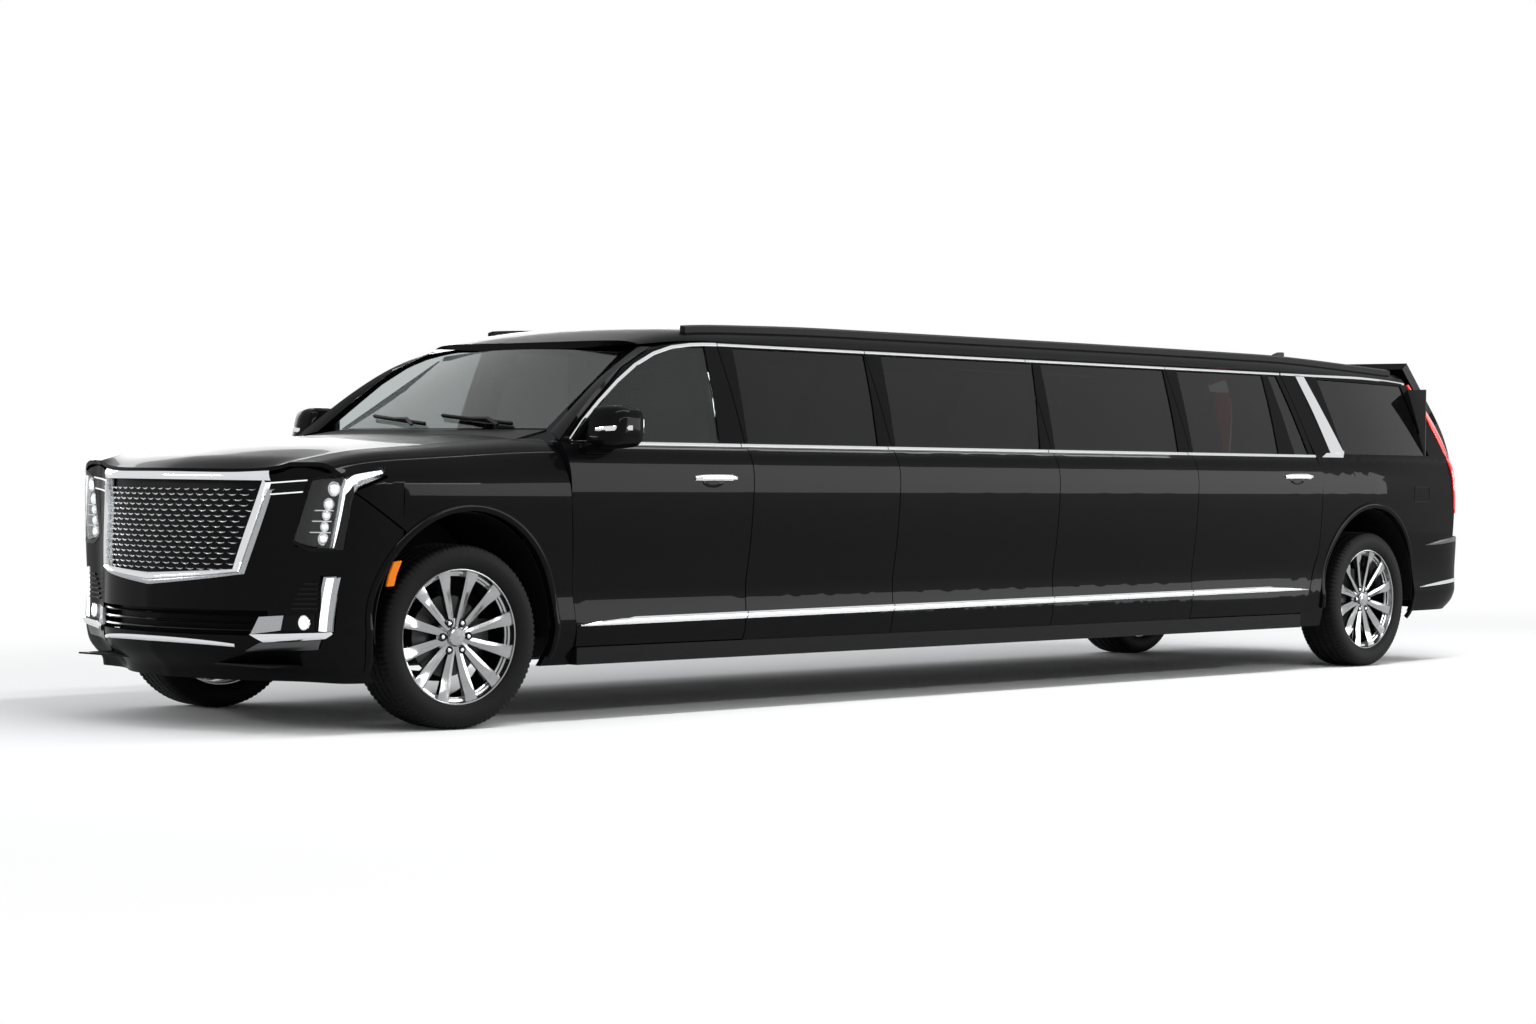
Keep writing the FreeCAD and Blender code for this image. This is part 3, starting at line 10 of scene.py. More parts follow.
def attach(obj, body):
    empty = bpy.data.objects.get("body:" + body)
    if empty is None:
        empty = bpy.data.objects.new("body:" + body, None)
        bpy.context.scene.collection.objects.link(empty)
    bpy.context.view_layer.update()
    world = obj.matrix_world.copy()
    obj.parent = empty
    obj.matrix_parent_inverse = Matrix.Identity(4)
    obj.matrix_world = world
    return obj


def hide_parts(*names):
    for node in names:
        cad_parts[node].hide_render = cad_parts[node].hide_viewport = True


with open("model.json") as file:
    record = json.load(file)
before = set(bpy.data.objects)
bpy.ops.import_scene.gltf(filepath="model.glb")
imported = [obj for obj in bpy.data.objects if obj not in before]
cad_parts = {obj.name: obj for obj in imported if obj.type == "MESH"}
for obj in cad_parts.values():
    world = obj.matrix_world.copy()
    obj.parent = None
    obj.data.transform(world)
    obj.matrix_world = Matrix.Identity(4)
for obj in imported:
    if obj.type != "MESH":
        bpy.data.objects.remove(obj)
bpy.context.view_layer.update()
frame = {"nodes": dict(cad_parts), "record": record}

# Places in metres. "back" is a distance behind the front axle, and x runs to the rear.
axle_x = -3.9115
wheelbase = 7.53
front_overhang = 1.007
rear_overhang = 1.300
half_width = 1.030
sill_height, belt_height, cant_height = .265, 1.300, 1.812
nose_top = 1.135
seam_one, seam_two, seam_three, seam_four, door_trail = 1.815, 2.927, 4.280, 5.595, 6.940
seam_gap = .003
arch_radius, arch_height = .530, .455
tyre_radius = .417
track_half, kingpin_half = .8665, .8165
rest_steer = math.radians(8)
SIDES = ((-1, "left"), (1, "right"))

# Sections of the body, as shares of its height and half width.
lower_side_shares = [(0, .930), (.063, .971), (.13, .9855), (.18, .992), (.245, .9825),
                     (.343, .9786), (.517, .992), (.662, .9985), (.787, 1), (.894, .9925),
                     (.961, .974), (1, .9475)]
upper_side_shares = [(0, .9475), (.5, .869), (1, .777)]
front_plan_shares = [(0, -1, 0), (.1, -.978, .195), (.2, -.938, .36), (.3, -.879, .485),
                     (.38, -.809, .592), (.46, -.752, .70), (.54, -.717, .816),
                     (.62, -.685, .898), (.70, -.625, .937), (.80, -.526, .960),
                     (1, -.377, .979)]
plan_back_shares = [(way, back) for way, back, half in front_plan_shares]
plan_half_shares = [(way, half) for way, back, half in front_plan_shares]
front_tuck_shares = [(.2, .125), (.239, .105), (.30, .03), (.358, .006), (.46, 0), (1.1, 0)]
front_lean_shares = [(.2, 0), (.46, 0), (.58, .004), (.70, .018), (.823, .04), (.92, .062),
                     (1.023, .085)]
front_taper, rear_taper = .145, .109
seam_half_shares = [(-.95, .60), (-.75, .678), (-.5, .735), (-.2, .777), (.4, .806), (.7, .82)]
seam_rise_shares = [(-.95, -.06), (-.75, .19), (-.5, .47), (-.2, .62), (.4, .85), (.7, .88)]
hood_front_height, hood_rear_height = 1.163, 1.338
shoulder_height = 1.093
shoulder_shares = ((.956, .62), (.925, .80), (.874, .92))  # of the width, of the rise


def unit(vectors):
    """Vectors of length one."""
    return vectors / np.maximum(np.linalg.norm(vectors, axis=-1, keepdims=True), 1e-12)


def smooth(shares, places):
    """A curve through (place, value) pairs: cubic pieces whose slope at a point is that of
    the line between its neighbours. Works on whole arrays of places."""
    x, y = np.array(shares, float).T[:2]
    before = np.concatenate([x[:1], x[:-1]]), np.concatenate([y[:1], y[:-1]])
    after = np.concatenate([x[1:], x[-1:]]), np.concatenate([y[1:], y[-1:]])
    slope = (after[1] - before[1]) / (after[0] - before[0])
    places = np.asarray(places, float)
    low = np.clip(np.searchsorted(x, places) - 1, 0, len(x) - 2)
    span = x[low + 1] - x[low]
    way = np.clip((places - x[low]) / span, 0, 1)
    return (y[low] * (1 + 2 * way) * (1 - way) ** 2 + span * slope[low] * way * (1 - way) ** 2
            + y[low + 1] * way ** 2 * (3 - 2 * way)
            - span * slope[low + 1] * way ** 2 * (1 - way))


def side_half(z):
    """Half width of the straight body at a height: one curve below the belt, one above."""
    z = np.asarray(z, float)
    low = smooth(lower_side_shares, (z - sill_height) / (belt_height - sill_height))
    high = smooth(upper_side_shares, (z - belt_height) / (cant_height - belt_height))
    return half_width * np.where(z <= belt_height, low, high)


def taper(back):
    """Share of the width that is left ahead of the front axle and behind the rear one."""
    back = np.asarray(back, float)
    ahead = np.clip(-back / front_overhang, 0, None)
    behind = np.clip((back - wheelbase) / rear_overhang, 0, None)
    return 1 - front_taper * ahead ** 2 - rear_taper * behind ** 1.6


def side_point(back, z):
    """Points of the left side's skin at places (back, height)."""
    back, z = np.broadcast_arrays(np.asarray(back, float), np.asarray(z, float))
    return np.stack([axle_x + back, -side_half(z) * taper(back), z], -1)


def nose_point(u, z):
    """Points of the nose: round the front in plan with u from -1 (left) to 1, at height z.
    The place back is that of the plan and of a lean which fades towards the corners."""
    u, z = np.broadcast_arrays(np.asarray(u, float), np.asarray(z, float))
    way = np.abs(u)
    rise = z / nose_top
    tuck = smooth(front_tuck_shares, rise) * np.clip(1 - (way / .8) ** 3, 0, None)
    lean = smooth(front_lean_shares, rise) * np.clip(1 - (way / .46) ** 1.5, 0, None)
    back = front_overhang * (smooth(plan_back_shares, way) + tuck + lean)
    half = side_half(np.maximum(z, sill_height)) * smooth(plan_half_shares, way)
    return np.stack([axle_x + back, half * np.sign(u), z], -1)


def seam_height(back):
    """Height of the seam between the hood and the fenders."""
    rise = smooth(seam_rise_shares, np.asarray(back, float) / front_overhang)
    return hood_front_height + (hood_rear_height - hood_front_height) * rise


def seam_half(back):
    """Half width at which that seam runs."""
    return half_width * smooth(seam_half_shares, np.asarray(back, float) / front_overhang)


def shoulder_half(back, z):
    """Half width of the fender above its shoulder, leaning in to the seam of the hood."""
    narrow = taper(back)
    way = np.clip((z - shoulder_height) / (seam_height(back) - shoulder_height), 0, 1)
    low = side_half(shoulder_height) * narrow
    halves = [low] + [half_width * share * narrow for share, rise in shoulder_shares]
    halves.append(seam_half(back))
    rises = [0] + [rise for share, rise in shoulder_shares] + [1]
    half = low
    for first, last, start, end in zip(rises, rises[1:], halves, halves[1:]):
        inside = np.clip((way - first) / (last - first), 0, 1)
        half = np.where(way >= first, start + (end - start) * inside, half)
    return half


def corner_point(u, z):
    """The nose's skin, drawn in to the fender's where it is higher than the shoulder."""
    point = nose_point(u, z)
    reach = shoulder_half(point[..., 0] - axle_x, point[..., 2])
    held = np.minimum(np.abs(point[..., 1]), np.where(np.abs(u) > .5, reach, 9))
    point[..., 1] = held * np.sign(point[..., 1])
    return point


def outward(surface, a, b):
    """Outward normals of a left-hand skin, from small steps along it and up it."""
    step = .004
    along = surface(a + step, b) - surface(a - step, b)
    up = surface(a, b + step) - surface(a, b - step)
    turned = np.cross(up, along)
    return unit(turned if surface in (nose_point, corner_point) else -turned)


def with_outs(surface, a, b):
    """Points of a skin, and its outward normals there."""
    return surface(a, b), outward(surface, a, b)


# Making meshes.
def grid_faces(rows, columns, start=0, close_rows=False, close_columns=False):
    """Quads between neighbouring points of a grid, whose ends may be joined."""
    index = start + np.arange(rows * columns).reshape(rows, columns)
    if close_rows:
        index = np.vstack([index, index[:1]])
    if close_columns:
        index = np.hstack([index, index[:, :1]])
    return np.stack([index[:-1, :-1], index[1:, :-1], index[1:, 1:], index[:-1, 1:]],
                    -1).reshape(-1, 4)


def plate(front, back):
    """A closed plate between two grids of the same size."""
    rows, columns = front.shape[:2]
    count = rows * columns
    index = np.arange(count).reshape(rows, columns)
    ring = np.concatenate([index[0, :-1], index[:-1, -1], index[-1, :0:-1], index[:0:-1, 0]])
    after = np.roll(ring, -1)
    faces = np.vstack([grid_faces(rows, columns), grid_faces(rows, columns, count)[:, ::-1],
                       np.stack([ring, after, after + count, ring + count], -1)])
    return np.concatenate([front.reshape(-1, 3), back.reshape(-1, 3)]), faces.tolist()


def tube(rings, closed=False):
    """A closed solid from rings of points, one row each; open ends get a cap."""
    rows, columns = rings.shape[:2]
    faces = grid_faces(rows, columns, close_rows=closed, close_columns=True).tolist()
    if not closed:
        faces += [list(range(columns)), list(range((rows - 1) * columns, rows * columns))[::-1]]
    return rings.reshape(-1, 3), faces


def sweep(path, outs, section, scale=1.0, closed=False):
    """A section carried along a path: its first numbers stand off along outs, and its second
    ones, times scale, across the path."""
    path, section = np.asarray(path, float), np.asarray(section, float)
    ahead = np.roll(path, -1, 0) - np.roll(path, 1, 0) if closed else np.gradient(path, axis=0)
    across = unit(np.cross(outs, unit(ahead)))
    scale = np.broadcast_to(np.asarray(scale, float), len(path))[:, None, None]
    rings = (path[:, None] + outs[:, None] * section[None, :, :1]
             + across[:, None] * section[None, :, 1:] * scale)
    return tube(rings, closed)


def merged(parts):
    """Points and faces of several solids, for one mesh."""
    points, faces, start = [], [], 0
    for some_points, some_faces in parts:
        points.append(some_points)
        faces += [[start + index for index in face] for face in some_faces]
        start += len(some_points)
    return np.vstack(points), faces


def mirrored(solid):
    """The same solid on the other side of the middle plane."""
    points, faces = solid
    return points * (1, -1, 1), [face[::-1] for face in faces]


def linked(name, data):
    """A new object of the scene with that data."""
    item = bpy.data.objects.new(name, data)
    bpy.context.scene.collection.objects.link(item)
    return item


def read_points(mesh):
    """The points of a mesh, one row each."""
    points = np.empty(3 * len(mesh.vertices))
    mesh.vertices.foreach_get("co", points)
    return points.reshape(-1, 3)


def rework(mesh, change):
    """Changes a mesh in place by a function of its bmesh."""
    work = bmesh.new()
    work.from_mesh(mesh)
    change(work)
    work.to_mesh(mesh)
    work.free()


def solid_mesh(name, solid):
    """A mesh of closed solids whose faces look outward."""
    points, faces = solid
    mesh = bpy.data.meshes.new(name)
    mesh.from_pydata(np.asarray(points, float).reshape(-1, 3).tolist(), [], faces)
    mesh.validate()
    rework(mesh, lambda work: bmesh.ops.recalc_face_normals(work, faces=work.faces))
    return mesh


def mesh_piece(name, solid, body, slot, finish, crease=35, hides=()):
    """One mesh piece of closed solids, riding on a body; edges past the crease stay sharp."""
    mesh = solid_mesh(name, solid)
    mesh.polygons.foreach_set("use_smooth", [True] * len(mesh.polygons))
    mesh.set_sharp_from_angle(angle=math.radians(crease))
    mesh.materials.append(finish)
    piece = linked(name, mesh)
    if body:
        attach(piece, body)
    if hides:
        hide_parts(*hides)
    return piece


def sided(name, word):
    """A name that ends in _ stands for one on each side and gets the side's word."""
    return name + word if name.endswith("_") else name


def on_sides(name, solid, body, slot, finish, hides=(), **more):
    """A piece on the left and its mirror image on the right."""
    for side, word in SIDES:
        mesh_piece(f"{name}_{word}", solid if side < 0 else mirrored(solid), sided(body, word),
                   slot, finish, hides=[sided(node, word) for node in hides], **more)


def spread(line, count):
    """Points at even steps of the index along a line of (place, height) pairs."""
    line = np.asarray(line, float)
    steps = np.linspace(0, len(line) - 1, count)
    return np.stack([np.interp(steps, np.arange(len(line)), column) for column in line.T], -1)


def patch(surface, near, far, proud, sunk, rows=12, columns=4, crown=0.0):
    """A plate on a skin between two lines of (place, height) pairs: it stands proud by one
    measure, more in its middle by its crown, and is sunk by another."""
    near, far = spread(near, rows), spread(far, rows)
    way = np.linspace(0, 1, columns)[None, :, None]
    place = near[:, None] * (1 - way) + far[:, None] * way
    a, b = place[..., 0], place[..., 1]
    points, outs = with_outs(surface, a, b)
    rise = proud + crown * (1 - (2 * way - 1) ** 2)
    return plate(points + outs * rise, points - outs * sunk)


def cutter(solid):
    """A solid as an object for Booleans."""
    return linked("cutter", solid_mesh("cutter", solid))


def carved(solid, cuts=(), keeps=()):
    """The points and faces of a solid after some solids are cut away and it is kept only
    inside others."""
    item = cutter(solid)
    tools = [(cutter(one), "DIFFERENCE") for one in cuts]
    tools += [(cutter(one), "INTERSECT") for one in keeps]
    for tool, kind in tools:
        change = item.modifiers.new("carve", "BOOLEAN")
        change.operation, change.object, change.solver = kind, tool, "EXACT"
    ready = item.evaluated_get(bpy.context.evaluated_depsgraph_get())
    mesh = bpy.data.meshes.new_from_object(ready)
    for one in [item] + [tool for tool, kind in tools]:
        bpy.data.objects.remove(one)
    return read_points(mesh), [list(face.vertices) for face in mesh.polygons]


def prism(outline, start, end, axis):
    """A solid of one outline carried along an axis; the outline's pairs are the other two
    coordinates in their order."""
    outline = np.asarray(outline, float)
    rings = [np.insert(outline, axis, place, axis=1) for place in (start, end)]
    return tube(np.stack(rings))


def box(backs, halves, low, high):
    """An upright block between two places back, two across and two heights."""
    (near, far), (left, right) = backs, halves
    return prism([(axle_x + near, left), (axle_x + far, left), (axle_x + far, right),
                  (axle_x + near, right)], low, high, 2)


def circle(count):
    """Angles in even steps round a circle."""
    return np.linspace(0, 2 * math.pi, count, endpoint=False)


def rounded(count, power):
    """Places round a square with soft corners, across and up, from -1 to 1."""
    turn = circle(count)
    return [np.sign(part) * np.abs(part) ** power for part in (np.cos(turn), np.sin(turn))]


def disc(back, height, radius, start, end):
    """A cylinder across the body."""
    turn = circle(96)
    outline = np.stack([axle_x + back + radius * np.cos(turn), height + radius * np.sin(turn)],
                       -1)
    return prism(outline, start, end, 1)


def arch_line(centre, radius, start, end, count):
    """Pairs (back, height) round a wheel, between two angles in degrees from the front."""
    turn = np.radians(np.linspace(start, end, count))
    return np.stack([centre - radius * np.cos(turn), arch_height + radius * np.sin(turn)], -1)


def level_normals(points):
    """Outward normals of a grid of points, from its neighbours."""
    along, up = np.gradient(points, axis=0), np.gradient(points, axis=1)
    return unit(np.cross(up, along))


# Finishes. Each has its own variation in roughness, and most a fine bump.
def set_inputs(node, sockets):
    """Constant values for a node's sockets, by their own names with _ for a space."""
    for socket, value in sockets.items():
        node.inputs[socket.replace("_", " ")].default_value = value


def add_node(tree, kind, **sockets):
    """A new shader node of a tree."""
    made = tree.nodes.new("ShaderNode" + kind)
    set_inputs(made, sockets)
    return made


def finish(name, colour, roughness, **sockets):
    """A shader with constant colour, roughness and other sockets."""
    made = bpy.data.materials.new(name)
    made.use_nodes = True
    set_inputs(made.node_tree.nodes["Principled BSDF"],
               {"Base_Color": (*colour, 1), "Roughness": roughness, **sockets})
    return made


def grained(made, scale, bump, spread=0.0, stretch=(1, 1, 1)):
    """Adds a noise on object coordinates: it lifts the surface by bump metres and spreads
    the roughness about its value."""
    tree = made.node_tree
    link, shader = tree.links.new, tree.nodes["Principled BSDF"]
    place = add_node(tree, "TexCoord")
    turn = add_node(tree, "Mapping", Scale=stretch)
    noise = add_node(tree, "TexNoise", Scale=scale, Detail=3)
    link(place.outputs["Object"], turn.inputs["Vector"])
    link(turn.outputs["Vector"], noise.inputs["Vector"])
    if bump:
        lift = add_node(tree, "Bump", Distance=bump, Strength=1)
        link(noise.outputs["Fac"], lift.inputs["Height"])
        link(lift.outputs["Normal"], shader.inputs["Normal"])
    if spread:
        value = shader.inputs["Roughness"].default_value
        ends = add_node(tree, "MapRange", To_Min=max(value - spread, 0), To_Max=value + spread)
        link(noise.outputs["Fac"], ends.inputs["Value"])
        link(ends.outputs["Result"], shader.inputs["Roughness"])
    return made


paint = grained(finish("body_paint", (.0022, .0022, .0026), .35, Specular_IOR_Level=.01,
                       Coat_Weight=.10, Coat_Roughness=.02, Coat_IOR=1.5), 900, 0, .06)
trim = grained(finish("black_trim", (.004, .004, .0042), .5, Specular_IOR_Level=.08),
               700, .00006, .08)
gloss = grained(finish("gloss_black", (.002, .002, .002), .1, Specular_IOR_Level=.09),
                700, 0, .04)
rubber = grained(finish("tyre_rubber", (.0042, .0042, .0044), .62, Specular_IOR_Level=.10),
                 260, .0001, .1)
chrome = grained(finish("chrome", (.70, .71, .72), .08, Metallic=1), 40, 0, .03)
satin = grained(finish("satin_chrome", (.36, .37, .38), .28, Metallic=1), 60, 0, .05)
wheel_metal = grained(finish("wheel_metal", (.31, .312, .316), .20, Metallic=1), 300, 0, .05)
iron = grained(finish("cast_iron", (.035, .035, .036), .45, Metallic=.9), 200, .0001, .1)
chassis = grained(finish("chassis_paint", (.0035, .0035, .0035), .5,
                         Specular_IOR_Level=.06), 120, .0002, .1)
steel = grained(finish("exhaust_steel", (.35, .33, .31), .35, Metallic=1), 90, .0001, .12)
leather = grained(finish("seat_leather", (.022, .021, .021), .42), 420, .0003, .1)
cabin = grained(finish("cabin_trim", (.014, .014, .015), .6), 300, .0002, .1)
wood = grained(finish("cabin_wood", (.09, .035, .014), .25, Coat_Weight=.6), 14, .00005, .1,
               stretch=(1, 6, 6))
dark_glass = grained(finish("dark_glass", (.03, .032, .034), .01, Transmission_Weight=1,
                            Specular_IOR_Level=.4, IOR=1.3), 5, 0, .005)
light_glass = grained(finish("light_glass", (.50, .54, .535), .01, Transmission_Weight=1,
                             IOR=1.3), 5, 0, .005)
screen_glass = grained(finish("screen_glass", (.30, .325, .32), .01, Transmission_Weight=1,
                              IOR=1.3), 5, 0, .005)
lens = grained(finish("lamp_lens", (.97, .98, .99), .02, Transmission_Weight=1, IOR=1.3),
               5, 0, .01)
red_lens = grained(finish("red_lens", (.55, .01, .012), .12, Coat_Weight=1,
                          Emission_Color=(1, .02, .02, 1), Emission_Strength=.5),
                   300, .0001, .04)
amber_lens = grained(finish("amber_lens", (.62, .15, .002), .25, Specular_IOR_Level=.2,
                            Emission_Color=(1, .20, .001, 1), Emission_Strength=.12),
                     300, .0001, .04)
light_bar = grained(finish("light_bar", (.9, .9, .9), .3, Emission_Color=(1, 1, 1, 1),
                           Emission_Strength=1.0), 200, .00005, .05)
light_line = grained(finish("light_line", (.7, .7, .7), .3, Emission_Color=(1, 1, 1, 1),
                            Emission_Strength=.35), 200, 0, .05)
projector = grained(finish("projector", (.85, .87, .9), .05, Metallic=.9,
                           Emission_Color=(1, 1, 1, 1), Emission_Strength=.25), 60, 0, .03)
dark_satin = grained(finish("dark_satin", (.08, .08, .082), .3, Metallic=1), 60, 0, .05)

FINISHES = {"body_paint": paint, "black_trim": trim, "tyre_rubber": rubber, "chrome": chrome,
            "wheel_metal": wheel_metal, "cast_metal": iron, "chassis_paint": chassis,
            "exhaust_steel": steel, "seat_leather": leather, "cabin_trim": cabin,
            "cabin_wood": wood, "dark_glass": dark_glass, "light_glass": light_glass,
            "lamp_lens": lens, "red_lens": red_lens}
SLOT_OF = {one["node"]: one["material_slot"] for one in frame["record"]["subparts"]}
for node, item in frame["nodes"].items():
    chosen = screen_glass if node == "windshield" else FINISHES[SLOT_OF[node]]
    if item.data.materials:
        for index in range(len(item.data.materials)):
            item.data.materials[index] = chosen
    else:
        item.data.materials.append(chosen)


# Hood, fenders and nose.
hood_front_share, hood_front_bow_share, hood_rear_bow_share = .905, .145, .09
hood_rear_back = .520
hood_crown_shares = [(0, 0), (.05, .18), (.11, .33), (.29, .61), (.5, .80), (.77, .94), (1, 1)]
hood_bend_shares = [(0, 7), (.15, 4), (.4, 2.4), (1, 2.4)]


def hood_point(u, across):
    """Hood: back from its front edge with u and across with -1 to 1. Its height falls from a
    crown to the seam with a power of the place across, and its edges follow the seam."""
    rear = hood_rear_back - front_overhang * hood_rear_bow_share * across ** 2
    front = -front_overhang * (hood_front_share - hood_front_bow_share * np.abs(across) ** 1.6)
    back = front + (rear - front) * u
    crown = hood_front_height + (hood_rear_height - hood_front_height) * smooth(
        hood_crown_shares, u)
    height = crown + (seam_height(back) - crown) * np.abs(across) ** smooth(hood_bend_shares, u)
    return np.stack([axle_x + back, (seam_half(back) - 2 * seam_gap) * across, height], -1)


def hood():
    """The hood's panel, as deep as it is shown."""
    u, across = np.meshgrid(np.linspace(0, 1, 61), np.linspace(-1, 1, 61), indexing="ij")
    skin = hood_point(u, across)
    mesh_piece("hood_panel", plate(skin, skin - np.array((0, 0, .018))), "hood", "body_paint",
               paint, hides=("hood",))


def fender_point(back, v):
    """Left fender: up the side, over a shoulder and in to the hood's seam with v."""
    narrow = taper(back)
    top_height, top_half = seam_height(back), seam_half(back)
    heights = [sill_height + (shoulder_height - sill_height) * step / 5 for step in range(6)]
    line = [(side_half(height) * narrow, height) for height in heights]
    for half_share, rise in shoulder_shares:
        line.append((half_width * half_share * narrow,
                     shoulder_height + (top_height - shoulder_height) * rise))
    line.append((top_half, top_height))
    place = v * (len(line) - 1)
    low = np.clip(place.astype(int), 0, len(line) - 2)
    way = place - low
    values = np.array([[np.broadcast_to(part, back.shape) for part in pair] for pair in line])
    before, after = np.maximum(low - 1, 0), np.minimum(low + 2, len(line) - 1)
    rows, columns = np.indices(back.shape)
    result = []
    for part in (0, 1):
        start, end = values[low, part, rows, columns], values[low + 1, part, rows, columns]
        slope_start = (end - values[before, part, rows, columns]) / (low + 1 - before)
        slope_end = (values[after, part, rows, columns] - start) / (after - low)
        result.append(start * (1 + 2 * way) * (1 - way) ** 2 + slope_start * way * (1 - way) ** 2
                      + end * way ** 2 * (3 - 2 * way) - slope_end * way ** 2 * (1 - way))
    return np.stack([axle_x + back, -result[0], result[1]], -1)


fender_nose_line = [(-.765, .99), (-.455, 1.005), (-.455, .995), (-.62, .94), (-.38, .80),
                    (.05, .5)]
door_lead = .6762
door_lead_line = [(door_lead, .352), (.625, 1.038), (.595, 1.312)]
lamp_outline = [(-.85, .732), (-.69, .722), (-.66, .93), (-.60, .985), (-.46, 1.012),
                (-.46, 1.03), (-.64, 1.0), (-.85, .962)]


def side_block(outline, start=-1.2, end=-.3):
    """A prism across the left side, from an outline of (back, height) pairs."""
    return prism([(axle_x + back, height) for back, height in outline], start, end, 1)


def arches(back):
    """The spaces of two wheels, left and right."""
    return [disc(back, arch_height, arch_radius, -1.3, -.60),
            disc(back, arch_height, arch_radius, .60, 1.3)]


def lamp_space(reach):
    """The space of the left headlamp: its outline seen from the side, from its inner edge out."""
    outline = [(front_overhang * back, nose_top * height) for back, height in lamp_outline]
    centre = np.mean(outline, 0)
    grown = [tuple(centre + (np.array(point) - centre) * (1 + reach * 4)) for point in outline]
    return side_block(grown, -1.2, -.72 + reach)


def fenders():
    """The fenders, ending at the nose, the hood, the front door, the lamp and the arch."""
    back, v = np.meshgrid(np.linspace(-.77, .70, 74), np.linspace(0, 1, 58), indexing="ij")
    skin = fender_point(back, v)
    outline = [(door_lead - .006, sill_height)] + [(a - .006, b) for a, b in door_lead_line]
    outline += [(.60, 1.35), (-.77, 1.35)]
    outline += [(front_overhang * a, nose_top * b) for a, b in fender_nose_line]
    outline += [(.05, sill_height - .01)]
    plan = [(axle_x + 1.2, -1.2), (axle_x - .377 * front_overhang, -1.2)]
    plan += [tuple(point) for point in nose_point(np.linspace(-1, 0, 60), 1.12)[:, :2]]
    plan += [(axle_x + 1.2, 0)]
    depth = np.zeros_like(skin)
    depth[..., 1] = .03 * np.clip(1.2 - v, .2, 1)
    depth[..., 2] = -.02 * v
    solid = carved(plate(skin, skin + depth), cuts=[arches(0)[0], lamp_space(.004)],
                   keeps=[side_block(outline), prism(plan, 0, 2, 2)])
    on_sides("fender_panel", solid, "root", "body_paint", paint, hides=("fender_",))


nose_top_shares = [(0, 1.003), (.38, 1.0035), (.46, 1.03), (.54, 1.02), (.62, .996), (.70, .987),
                   (1, .987)]
grille_corners = [(-.603, 1.12), (-.502, .705), (0, .655), (.502, .705), (.603, 1.12)]
nose_foot = .225
intake_low, intake_high, intake_half = .430, .540, .603
fog_low, fog_high, fog_near, fog_far = .455, .700, .845, .916


def front_block(outline):
    """A prism along the body through the nose, from an outline of (half, height) pairs."""
    return prism(outline, axle_x - 1.1, axle_x - .2, 0)


def front_slot(near, far, low, high):
    """A prism of a rectangle through the nose."""
    return front_block([(near, low), (near, high), (far, high), (far, low)])


def nose():
    """The nose's panel, with holes for the grille, the intake, lamps, hood and arches."""
    u, v = np.meshgrid(np.linspace(-1, 1, 141), np.linspace(0, 1, 56), indexing="ij")
    z = nose_foot + (nose_top * smooth(nose_top_shares, np.abs(u)) - nose_foot) * v
    skin = nose_point(u, z)
    outs = level_normals(skin)
    middle = np.array((axle_x + .2, 0, .7))
    facing = np.where(np.sum(outs * (skin - middle), -1) > 0, 1, -1)[..., None]
    inner = skin - outs * facing * .035
    inner[..., 2] = skin[..., 2]
    seam = [(front_overhang * -.62 - .006, nose_top * .94 - .006),
            (front_overhang * -.38 - .006, nose_top * .80 - .006), (0, .9), (0, 2), (-.63, 2)]
    cuts = arches(0) + [front_block(grille_corners), side_block(seam), mirrored(side_block(seam)),
                        lamp_space(0), mirrored(lamp_space(0)),
                        front_slot(-intake_half, intake_half, intake_low, intake_high)]
    for side, word in SIDES:
        cuts.append(front_slot(side * fog_near, side * fog_far, fog_low, fog_high))
    mesh_piece("nose_panel", carved(plate(skin, inner), cuts=cuts), "root", "body_paint", paint,
               hides=("front_bumper",))


rear_plan_shares = [(0, .998, 0), (.15, .99, .25), (.35, .968, .55), (.5, .942, .75),
                    (.62, .915, .86), (.72, .87, .922), (.85, .69, .966), (1, .25, .99)]
rear_back_shares = [(way, back) for way, back, half in rear_plan_shares]
rear_half_shares = [(way, half) for way, back, half in rear_plan_shares]
rear_top_shares = [(0, 1), (.5, 1), (.62, 1.006), (.72, 1.012), (.85, 1.024), (1, 1.06)]
rear_lean_shares = [(0, .10), (.15, .03), (.5, 0), (.9, 0), (1, .012)]
tail_foot, tail_top = .330, .790


def rear_point(u, v):
    """Rear bumper: round the tail in plan with u from -1 (left) to 1, and up with v."""
    way = np.abs(u)
    z = tail_foot + (tail_top * smooth(rear_top_shares, way) - tail_foot) * v
    plan_back, plan_half = smooth(rear_back_shares, way), smooth(rear_half_shares, way)
    back = wheelbase + rear_overhang * (plan_back - smooth(rear_lean_shares, v))
    return np.stack([axle_x + back, side_half(z) * plan_half * np.sign(u), z], -1)


def rear_bumper():
    """The rear bumper's panel, cut by the arches."""
    u, v = np.meshgrid(np.linspace(-1, 1, 121), np.linspace(0, 1, 36), indexing="ij")
    skin = rear_point(u, v)
    centre = np.array((axle_x + wheelbase, 0, 0))
    inner = skin - unit((skin - centre) * (1, 1, 0)) * .03
    mesh_piece("rear_bumper_panel", carved(plate(skin, inner), cuts=arches(wheelbase)), "root",
               "body_paint", paint, hides=("rear_bumper",))


hood()
fenders()
nose()
rear_bumper()


# Grille: an outer satin band and an inner bright one, a top bar and rows of small dashes.
def grille_edge(reach):
    """The V-shaped outline of the grille in (u, height), drawn in by a reach."""
    halves = np.array([-.603 + reach, -.502 + reach * .9, 0, .502 - reach * .9, .603 - reach])
    heights = np.array([1.12, .705 + reach * .4, .655 + reach, .705 + reach * .4, 1.12])
    return np.stack([nose_way(halves), heights], -1)


